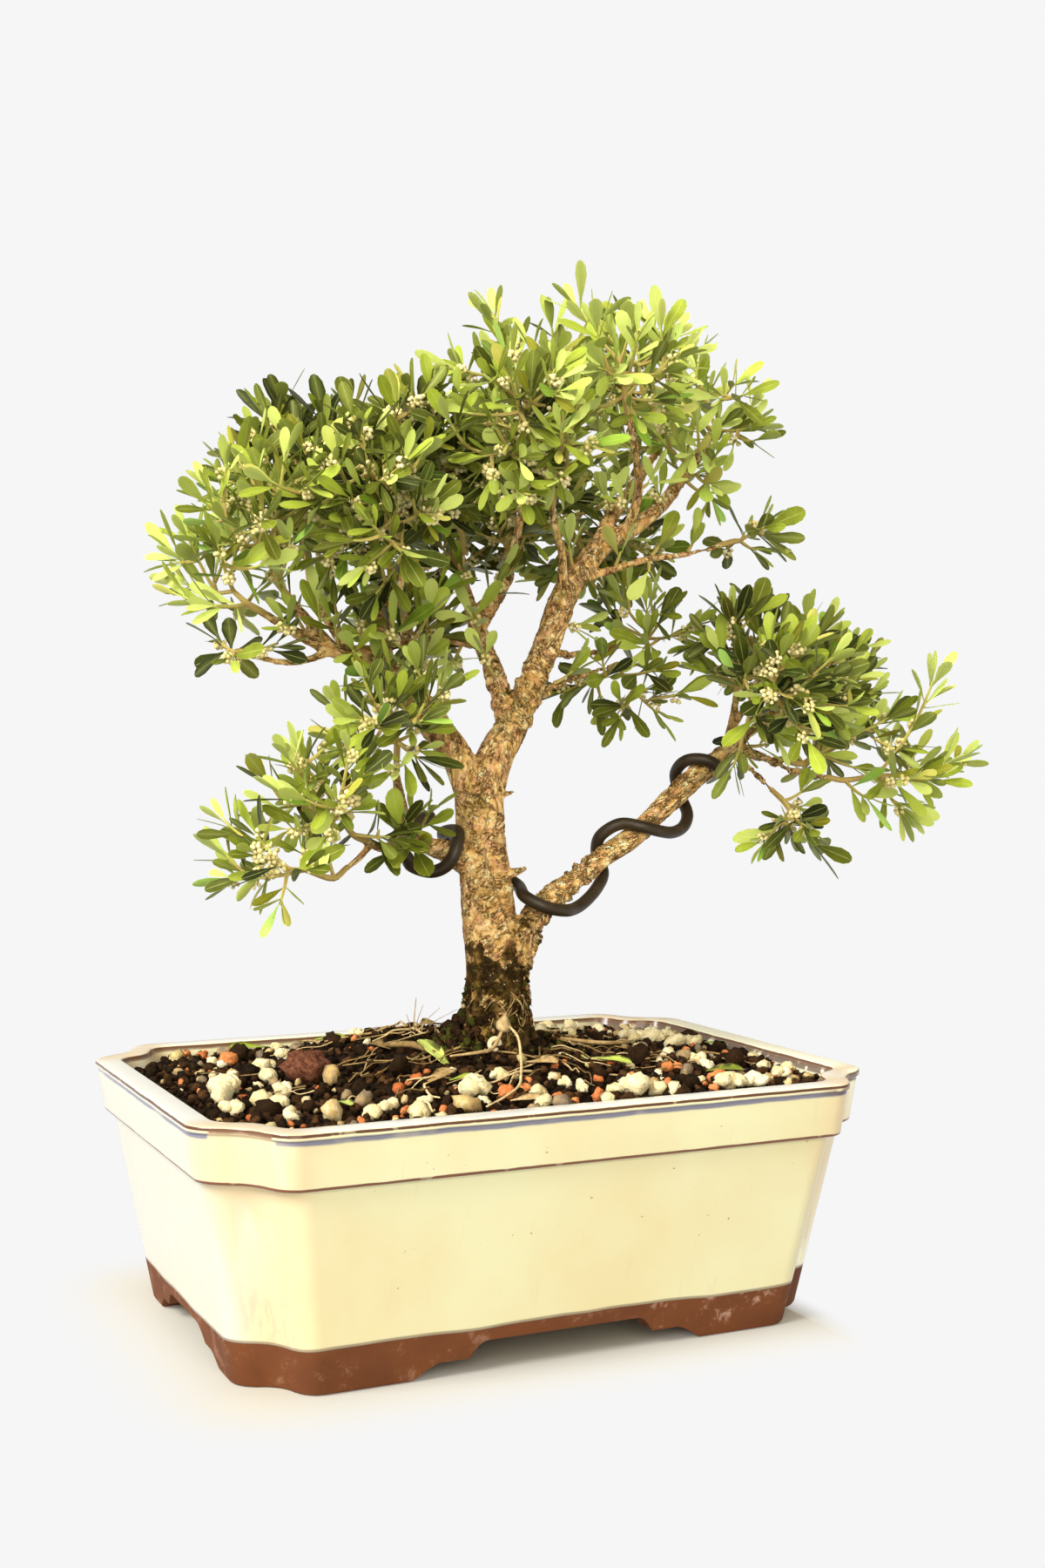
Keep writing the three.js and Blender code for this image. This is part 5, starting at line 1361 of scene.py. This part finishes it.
def grainPattern(cuts, rough, seed):
    # one grain: a cube, divided, rounded and knocked about
    bpy.ops.object.select_all(action="DESELECT")
    bpy.ops.mesh.primitive_cube_add(size=1.25)
    grain = bpy.context.object
    bpy.ops.object.mode_set(mode="EDIT")
    bpy.ops.mesh.select_all(action="SELECT")
    bpy.ops.mesh.subdivide(number_cuts=cuts, smoothness=1.0)
    bpy.ops.transform.vertex_random(offset=rough, uniform=1.0, seed=seed)
    bpy.ops.object.mode_set(mode="OBJECT")
    points = np.array([v.co[:] for v in grain.data.vertices])
    faces = [list(p.vertices) for p in grain.data.polygons]
    bpy.data.objects.remove(grain)
    points -= (points.max(0) + points.min(0)) / 2
    return points / np.abs(points).max(), faces


grains = [grainPattern(1, 0.34, seed) for seed in range(8)]
bigGrains = [grainPattern(2, 0.24, seed) for seed in range(20, 27)]


def turned(points, turn, tip, roll):
    cz, sz, cx, sx, cy, sy = (f(v) for v in (turn, tip, roll) for f in (math.cos, math.sin))
    points = points @ np.array([[cy, 0, -sy], [0, 1, 0], [sy, 0, cy]])
    points = points @ np.array([[1, 0, 0], [0, cx, sx], [0, -sx, cx]])
    return points @ np.array([[cz, sz, 0], [-sz, cz, 0], [0, 0, 1]])


def layGrain(pile, pattern, x, y, width, draw, material, tone, sunk=0.25, flat=0.75):
    points, faces = pattern
    stretch = np.array([1.05, 0.55 + 0.42 * next(draw), flat * (0.7 + 0.45 * next(draw))]) * width / 2
    turn, tip, roll = next(draw) * 6.283, (next(draw) - 0.5) * 1.3, (next(draw) - 0.5) * 1.3
    points = turned(points * stretch, turn, tip, roll)
    level = soilHeight(x, y) - points[:, 2].min() - sunk * width * 0.5 - soil["under"] * 0.6
    pile.add(points + [x, y, level], faces, material, tone=tone)


def makeGrains():
    draw = drawFrom(41)
    tx, ty = soil["trunk"]
    crumbs, rocks = Pile(), Pile()
    step = soil["crumbStep"]
    for row in range(int(160 / step)):
        for column in range(int(212 / step)):
            x = -106 + (column + 0.5 * (row % 2)) * step + (next(draw) - 0.5) * step * 0.9
            y = -80 + row * step + (next(draw) - 0.5) * step * 0.9
            width = 2.3 + 3.1 * next(draw) ** 2
            if inPot(x, y, width * 0.45) and math.hypot(x - tx, y - ty) > 13.0:
                layGrain(crumbs, grains[int(next(draw) * 8)], x, y, width, draw, 0, next(draw) ** 1.3, 0.3)
    near = []
    names = ["pumice", "lava", "gravel", "dark"]
    # the darkest tone of each kind, and how far its tones reach
    stoneTones = {"pumice": (0.6, 0.3), "lava": (0.45, 0.5), "gravel": (0.45, 0.5), "dark": (0.05, 0.5)}
    for kind in names:
        for x, y, width in stones[kind]:
            near.append((x, y, width))
            tone = stoneTones[kind][0] + stoneTones[kind][1] * next(draw)
            layGrain(rocks, bigGrains[int(next(draw) * 7)], x, y, width, draw, names.index(kind), tone,
                     0.12, 0.8)
            # pumice grows in lumps
            for lump in range((3 if width > 8.5 else 2) if kind == "pumice" else 0):
                turn, share = next(draw) * 6.283, 0.45 + 0.25 * next(draw)
                pattern = bigGrains[int(next(draw) * 7)]
                besideX, besideY = x + math.cos(turn) * width * 0.34, y + math.sin(turn) * width * 0.34
                layGrain(rocks, pattern, besideX, besideY, width * share, draw, 0, tone + 0.1 * next(draw),
                         -0.35, 0.9)
    step = soil["stoneStep"]
    for row in range(int(160 / step * 2)):
        for column in range(int(212 / step * 2)):
            x = -106 + column * step / 2 + (next(draw) - 0.5) * step * 0.5
            y = -80 + row * step / 2 + (next(draw) - 0.5) * step * 0.5
            pickKind, size, tone = next(draw), next(draw), next(draw)
            away = math.hypot((x - tx) * 0.8, y - ty)
            # fewer stones near the trunk, more where they lie together
            share = 0.4 * noise.noise(Vector((x * 0.06, y * 0.06, 3)))
            share = 0.3 * min(1, max(0, (away - 22) / 50)) + share
            if next(draw) > share or not inPot(x, y, 2.5):
                continue
            width = 2.4 + 3.8 * size * size
            if any(math.hypot(x - nx, y - ny) < (width + nw) * 0.42 for nx, ny, nw in near):
                continue
            near.append((x, y, width))
            kind = 0 if pickKind < 0.28 else 1 if pickKind < 0.62 else 2
            if kind == 1:
                width *= 0.8
            pattern = grains[int(next(draw) * 8)]
            layGrain(rocks, pattern, x, y, width, draw, kind, 0.3 + 0.65 * tone, 0.15, 0.8)
    finishPiece(crumbs.piece("soil_crumbs", [crumbSkin]), "soil_mix")
    skins = [pumiceSkin, lavaSkin, speckled["gravelSkin"], crumbSkin]
    finishPiece(rocks.piece("soil_stones", skins), "soil_mix")
    return len(near)


def onSoil(x, y, rise=0.0):
    return np.array([x, y, soilHeight(x, y) + rise])


def layLeaf(pile, x, y, heading, length, width, tone, tip, material):
    turn, lift = math.radians(heading), math.radians(tip)
    forward = np.array([math.cos(turn) * math.cos(lift), math.sin(turn) * math.cos(lift), math.sin(lift)])
    face = unit(np.array([0.12 * math.sin(x), -0.3, 1.0]))
    face = unit(face - forward * (face @ forward))
    root = onSoil(x, y, 2.4) - forward * length * 0.5
    along, across, level = leafPoints.T
    side = np.cross(face, forward)
    lift = -0.08 * length * along ** 2 + 0.16 * width * across ** 2 + level * 0.4
    places = (root + (along * length)[:, None] * forward + (across * width / 2)[:, None] * side
              + lift[:, None] * face)
    pile.add(places, leafFaces, material, leafUv, tone, leafUnder)


def layTube(pile, line, radii, material, tone, sides=4):
    fine = smoothLine(np.column_stack([np.array(line, float), radii]), 4)
    points, faces = tube(fine[:, :3], fine[:, 3], sides, bud=0.1)
    pile.add(points, faces, material, tone=tone)


# how many of each lie loose in the soil and on the trunk's foot
scatter = {"rootlets": 130, "moss": 560, "heaped": 150, "forkMoss": 36, "fibres": 44}


def makeLitter():
    draw = drawFrom(77)
    pile = Pile()
    skins = [leafSkin, speckled["strawSkin"], speckled["mossSkin"], pumiceSkin, lavaSkin,
             speckled["chipSkin"], crumbSkin]
    for material, kind in enumerate(("green", "dry")):
        for fallen in litter[kind]:
            layLeaf(pile, *fallen, material)
    # rootlets and straw, thickest round the trunk
    tx, ty = soil["trunk"]
    for i in range(scatter["rootlets"]):
        turn, far = next(draw) * 6.283, 15 + 58 * next(draw) ** 1.8
        x, y = tx + math.cos(turn) * far * 1.15, ty + math.sin(turn) * far
        heading = turn + (next(draw) - 0.5) * 2.6
        length, bend, radius = 7 + 17 * next(draw), (next(draw) - 0.5) * 1.6, 0.22 + 0.34 * next(draw) ** 2
        line = []
        for k in range(5):
            x, y = x + math.cos(heading) * length / 4, y + math.sin(heading) * length / 4
            heading += bend / 4
            if not inPot(x, y, 2.0) or math.hypot(x - tx, y - ty) < 13:
                break
            line.append(onSoil(x, y, 0.9 + 1.5 * next(draw)))
        tone = next(draw) ** 1.4
        if len(line) > 2 and (i % 3 or turn < 0.3 or turn > 1.6):
            layTube(pile, line, np.linspace(radius, radius * 0.6, len(line)), 1, tone)
    # the pale root in front of the trunk, and the dead leaf that it hangs from
    root = [(8.5, -10, 93.5), (7.5, -20, 91), onSoil(4, -30, 3.2), onSoil(-3, -45, 2.6),
            onSoil(-9, -56, 2.4), onSoil(-17, -63, 2.6), onSoil(-25, -68, 2.0)]
    layTube(pile, root, [0.4, 0.46, 0.46, 0.46, 0.42, 0.36, 0.3], 1, 0.98, 7)
    root = [(6, -11, 92), onSoil(0, -16, 3), onSoil(-6, -19, 3.4), onSoil(-15, -16, 2.8)]
    layTube(pile, root, [0.5, 0.7, 0.6, 0.35], 1, 0.72, 6)
    root = [onSoil(-27, 11, 2.5), onSoil(-21, 2, 3.2), onSoil(-17, -8, 2.6)]
    layTube(pile, root, [0.9, 1.2, 0.8], 1, 0.3, 6)
    root = [onSoil(30, -6, 2.5), onSoil(42, -10, 3.4), onSoil(55, -6, 2.8), onSoil(63, 4, 2)]
    layTube(pile, root, [0.6, 0.75, 0.6, 0.4], 1, 0.6, 6)
    along, across, level = leafPoints.T
    dead = np.array([8.0, -9.5, 98.0]) + (along * 7.2)[:, None] * unit(np.array([-0.35, -0.3, -1.0]))
    dead = dead + (across * 2.9)[:, None] * np.array([0.93, -0.2, -0.3])
    dead = dead + (level * 0.4)[:, None] * np.array([0.2, 0.97, 0.0])
    dead = dead + (across ** 2 * 0.9)[:, None] * np.array([-0.2, -0.97, 0.0])
    pile.add(dead, leafFaces, 1, leafUv, 0.8, leafUnder)
    # dry grass behind the mound
    tuft = np.array([-12.0, 24.0, soilHeight(-12, 24) + 0.5])
    for dx, dz, lean, radius in ((1.0, 13.5, 0.6, 0.26), (2.8, 11.0, 1.5, 0.2), (-1.2, 8.0, -0.8, 0.2),
                                 (7.5, 9.5, 3.0, 0.16), (11.5, 8.5, 5.5, 0.14), (4.6, 5.5, 2.0, 0.34)):
        start = tuft + [dx * 0.4, 0, -1]
        layTube(pile, [start, start + [lean * 0.4, 0.5, dz * 0.45], start + [dx * 0.6 + lean, 1, dz]],
                [radius, radius * 0.85, radius * 0.5], 1, 0.66)
    # a small empty shell on the mound
    turns = np.linspace(0, 5.6, 12)
    shell = onSoil(2.0, -12.5, 3.4)
    coil = [shell + np.array([math.cos(t) * (2.1 - 0.16 * t), -0.25 * t, math.sin(t) * (2.3 - 0.16 * t)])
            for t in turns]
    layTube(pile, coil, np.linspace(1.15, 0.5, 12), 3, 0.9, 8)
    # moss on the trunk's foot and in patches on the mound
    for i in range(scatter["moss"]):
        turn, up, size = next(draw) * 6.283, next(draw) ** 1.6, next(draw)
        height = 83.5 + 24 * up
        if i % 4 == 0:
            far = 13 + 22 * next(draw)
            spot = onSoil(tx + math.cos(turn) * far, ty + math.sin(turn) * far, 1.0)
        else:
            radius = np.interp(height, (80, 88, 99, 111), (14, 12.5, 11.5, 10.5)) - 0.2
            spot = np.array([tx + math.cos(turn) * radius, ty + math.sin(turn) * radius, height])
        points, faces = grains[i % 8]
        golden = i % 9 == 5
        points = points * (0.35 + 0.95 * size ** 2) * [1, 0.5 if golden else 1, 1]
        points = turned(points, turn, up, size * 3)
        pile.add(points + spot, faces, 1 if golden else 2 if i % 5 < 2 else 6, tone=0.1 + 0.8 * next(draw))
    # crumbs and moss heaped against the foot, and moss where the limbs part
    for i in range(scatter["heaped"]):
        turn, far, size = 2.3 + 1.7 * next(draw), 12.0 + 9 * next(draw), next(draw)
        x, y = tx + math.cos(turn) * far, ty + math.sin(turn) * far
        level = soilHeight(x, y) + max(0.0, 9.5 - (far - 12) * 1.15) * next(draw)
        points, faces = grains[i % 8]
        points = turned(points * (0.8 + 1.3 * size), turn, size, size * 5)
        pile.add(points + [x, y, level], faces, 2 if i % 4 == 0 else 6, tone=0.1 + 0.7 * next(draw))
    for i in range(scatter["forkMoss"]):
        size, turn = next(draw), next(draw) * 6.283
        spot = np.array([2.4 * next(draw) - 1.2, 2 * next(draw) - 1, 7 * next(draw) - 3.5])
        spot = np.array([19.5, 12.5, 203]) + spot
        points, faces = grains[i % 8]
        points = turned(points * (0.4 + 0.7 * size), turn, size, size * 3)
        pile.add(points + spot, faces, 2, tone=0.2 + 0.8 * next(draw))
    # short ochre fibres down the trunk's foot
    for i in range(scatter["fibres"]):
        turn = -2.4 + 1.4 * next(draw) if i % 4 else next(draw) * 6.283
        height, length = 88 + 16 * next(draw), 2 + 5 * next(draw)
        lean = 2.4 * (next(draw) - 0.5)
        line = []
        for k in range(4):
            z = height - length * k / 3
            radius = np.interp(z, (76, 84, 88, 99, 111), (17.0, 13.7, 12.5, 11.6, 10.6)) + 0.4 * (k % 2)
            line.append((tx + math.cos(turn) * radius, ty + math.sin(turn) * radius, z))
            turn += 0.12 * lean
        radii = np.linspace(0.22, 0.08, 4) * (0.6 + 0.8 * next(draw))
        layTube(pile, line, radii, 1, 0.1 + 0.7 * next(draw))
    # the piece of bark
    points, faces = grainPattern(9, 0.03, 9)
    lumps = [1 + 0.34 * noise.noise(Vector(point * 2.1)) + 0.12 * noise.noise(Vector(point * 6))
             for point in points]
    points = points * np.array(lumps)[:, None]
    points = turned(points * [8.4, 6.8, 5.0], 0.3, 0.35, 0.12)
    pile.add(points + onSoil(-57.5, 1.5, 3.6), faces, 5, tone=0.5)
    return finishPiece(pile.piece("soil_litter", skins), "soil_mix")


makeBed()
stoneCount = makeGrains()
makeLitter()
print("soil ready:", stoneCount, "stones")


# The mesh and its clip keep their construction and get a finish
clipWire = speckled["clipWire"]
clipWire.node_tree.nodes["Principled BSDF"].inputs["Metallic"].default_value = 0.8
for word in ("left", "right"):
    for node, finish in (("drain_mesh_" + word, speckled["meshPlastic"]), ("drain_clip_" + word, clipWire)):
        for slot in bpy.data.objects[node].material_slots:
            slot.material = finish
print("drain pieces ready")


# Camera, floor and studio light
stage = {
    "lens": 42.12, "place": (-245.16, -564.29, 184.16), "yaw": 25.047, "pitch": 0.976,
    "backdrop": 0.922, "sky": (0.64, 0.595, 0.51), "floorToneWithBounce": (0.475, 0.445, 0.37), "floorGlow": 0.922,
    "keyPower": 5.6, "keyFrom": (-0.74, -0.2, 0.62), "keySpread": 30, "keyTint": (1, 1, 1),
    "fillPower": 3.2, "fillFrom": (-0.32, -0.9, 0.26), "fillSpread": 50, "fillTint": (1, 0.955, 0.83),
}


def addSun(name, power, comesFrom, spread, colour):
    lamp = bpy.data.lights.new(name, "SUN")
    lamp.energy, lamp.angle, lamp.color = power, math.radians(spread), colour
    light = bpy.data.objects.new(name, lamp)
    bpy.context.scene.collection.objects.link(light)
    light.rotation_euler = Vector(comesFrom).to_track_quat("Z", "Y").to_euler()


def paperMaterial(name, level):
    material = bpy.data.materials.new(name)
    material.use_nodes = True
    tree = material.node_tree
    tree.nodes.clear()
    glow = addNode(tree, "Emission", {0: (level, level, level, 1), 1: 1.0})
    end = tree.nodes.new("ShaderNodeOutputMaterial")
    tree.links.new(glow.outputs[0], end.inputs[0])
    return material, tree, glow, end


def makeFloor():
    # matt paper under the pot that runs out into an even white
    bpy.ops.object.select_all(action="DESELECT")
    bpy.ops.mesh.primitive_circle_add(vertices=96, radius=19.0, fill_type="NGON")
    floor = bpy.context.object
    floor.name = "studio_floor"
    material, tree, glow, end = paperMaterial("floorPaper", stage["floorGlow"])
    # the matt paper near the pot is tinted yellow: painted warm bounce light in the pot's shadow
    matt = addNode(tree, "BsdfDiffuse", {0: (*stage["floorToneWithBounce"], 1)})
    axes = addNode(tree, "SeparateXYZ", {0: placeOf(tree)})
    beyond = [minus(tree, awayFromMiddle(tree, axes, k), half) for k, half in enumerate((0.085, 0.055))]
    beyond = [calc(tree, "MAXIMUM", side, 0.0) for side in beyond]
    # on the right the glow starts nearer the pot, which paints out the pot's shadow there
    glowNearerRight = times(tree, calc(tree, "GREATER_THAN", axes.outputs["X"], 0.05), 1.8)
    beyond[0] = times(tree, beyond[0], plus(tree, 1.0, glowNearerRight))
    away = calc(tree, "SQRT", plus(tree, *(times(tree, side, side) for side in beyond)))
    share = between(tree, away, 0.0, 0.05)
    mixed = addNode(tree, "MixShader", {0: share})
    tree.links.new(matt.outputs[0], mixed.inputs[1])
    tree.links.new(glow.outputs[0], mixed.inputs[2])
    tree.links.new(mixed.outputs[0], end.inputs[0])
    floor.data.materials.append(material)
    return floor


def makeBackdrop():
    # seen by the camera alone, so that the light on the tree keeps its shadows
    bpy.ops.object.select_all(action="DESELECT")
    bpy.ops.mesh.primitive_ico_sphere_add(subdivisions=4, radius=20.0)
    dome = bpy.context.object
    dome.name = "studio_backdrop"
    dome.data.materials.append(paperMaterial("backdropPaper", stage["backdrop"])[0])
    for way in ("diffuse", "glossy", "transmission", "volume_scatter", "shadow"):
        setattr(dome, "visible_" + way, False)
    return dome


def makeStage():
    view = bpy.data.cameras.new("studioView")
    view.lens, view.sensor_width, view.clip_start, view.clip_end = stage["lens"], 36.0, 0.01, 100.0
    camera = bpy.data.objects.new("studioView", view)
    bpy.context.scene.collection.objects.link(camera)
    camera.location = np.array(stage["place"]) * mm + potCentre
    yaw, pitch = math.radians(stage["yaw"]), math.radians(stage["pitch"])
    toward = Vector((math.sin(yaw) * math.cos(pitch), math.cos(yaw) * math.cos(pitch), -math.sin(pitch)))
    camera.rotation_euler = toward.to_track_quat("-Z", "Y").to_euler()
    bpy.context.scene.camera = camera
    makeFloor()
    makeBackdrop()
    world = bpy.data.worlds.new("studio")
    world.use_nodes = True
    world.node_tree.nodes["Background"].inputs["Color"].default_value = (*stage["sky"], 1)
    bpy.context.scene.world = world
    addSun("key", stage["keyPower"], stage["keyFrom"], stage["keySpread"], stage["keyTint"])
    addSun("fill", stage["fillPower"], stage["fillFrom"], stage["fillSpread"], stage["fillTint"])
    bpy.context.scene.view_settings.view_transform = "Standard"


makeStage()
print("stage ready")
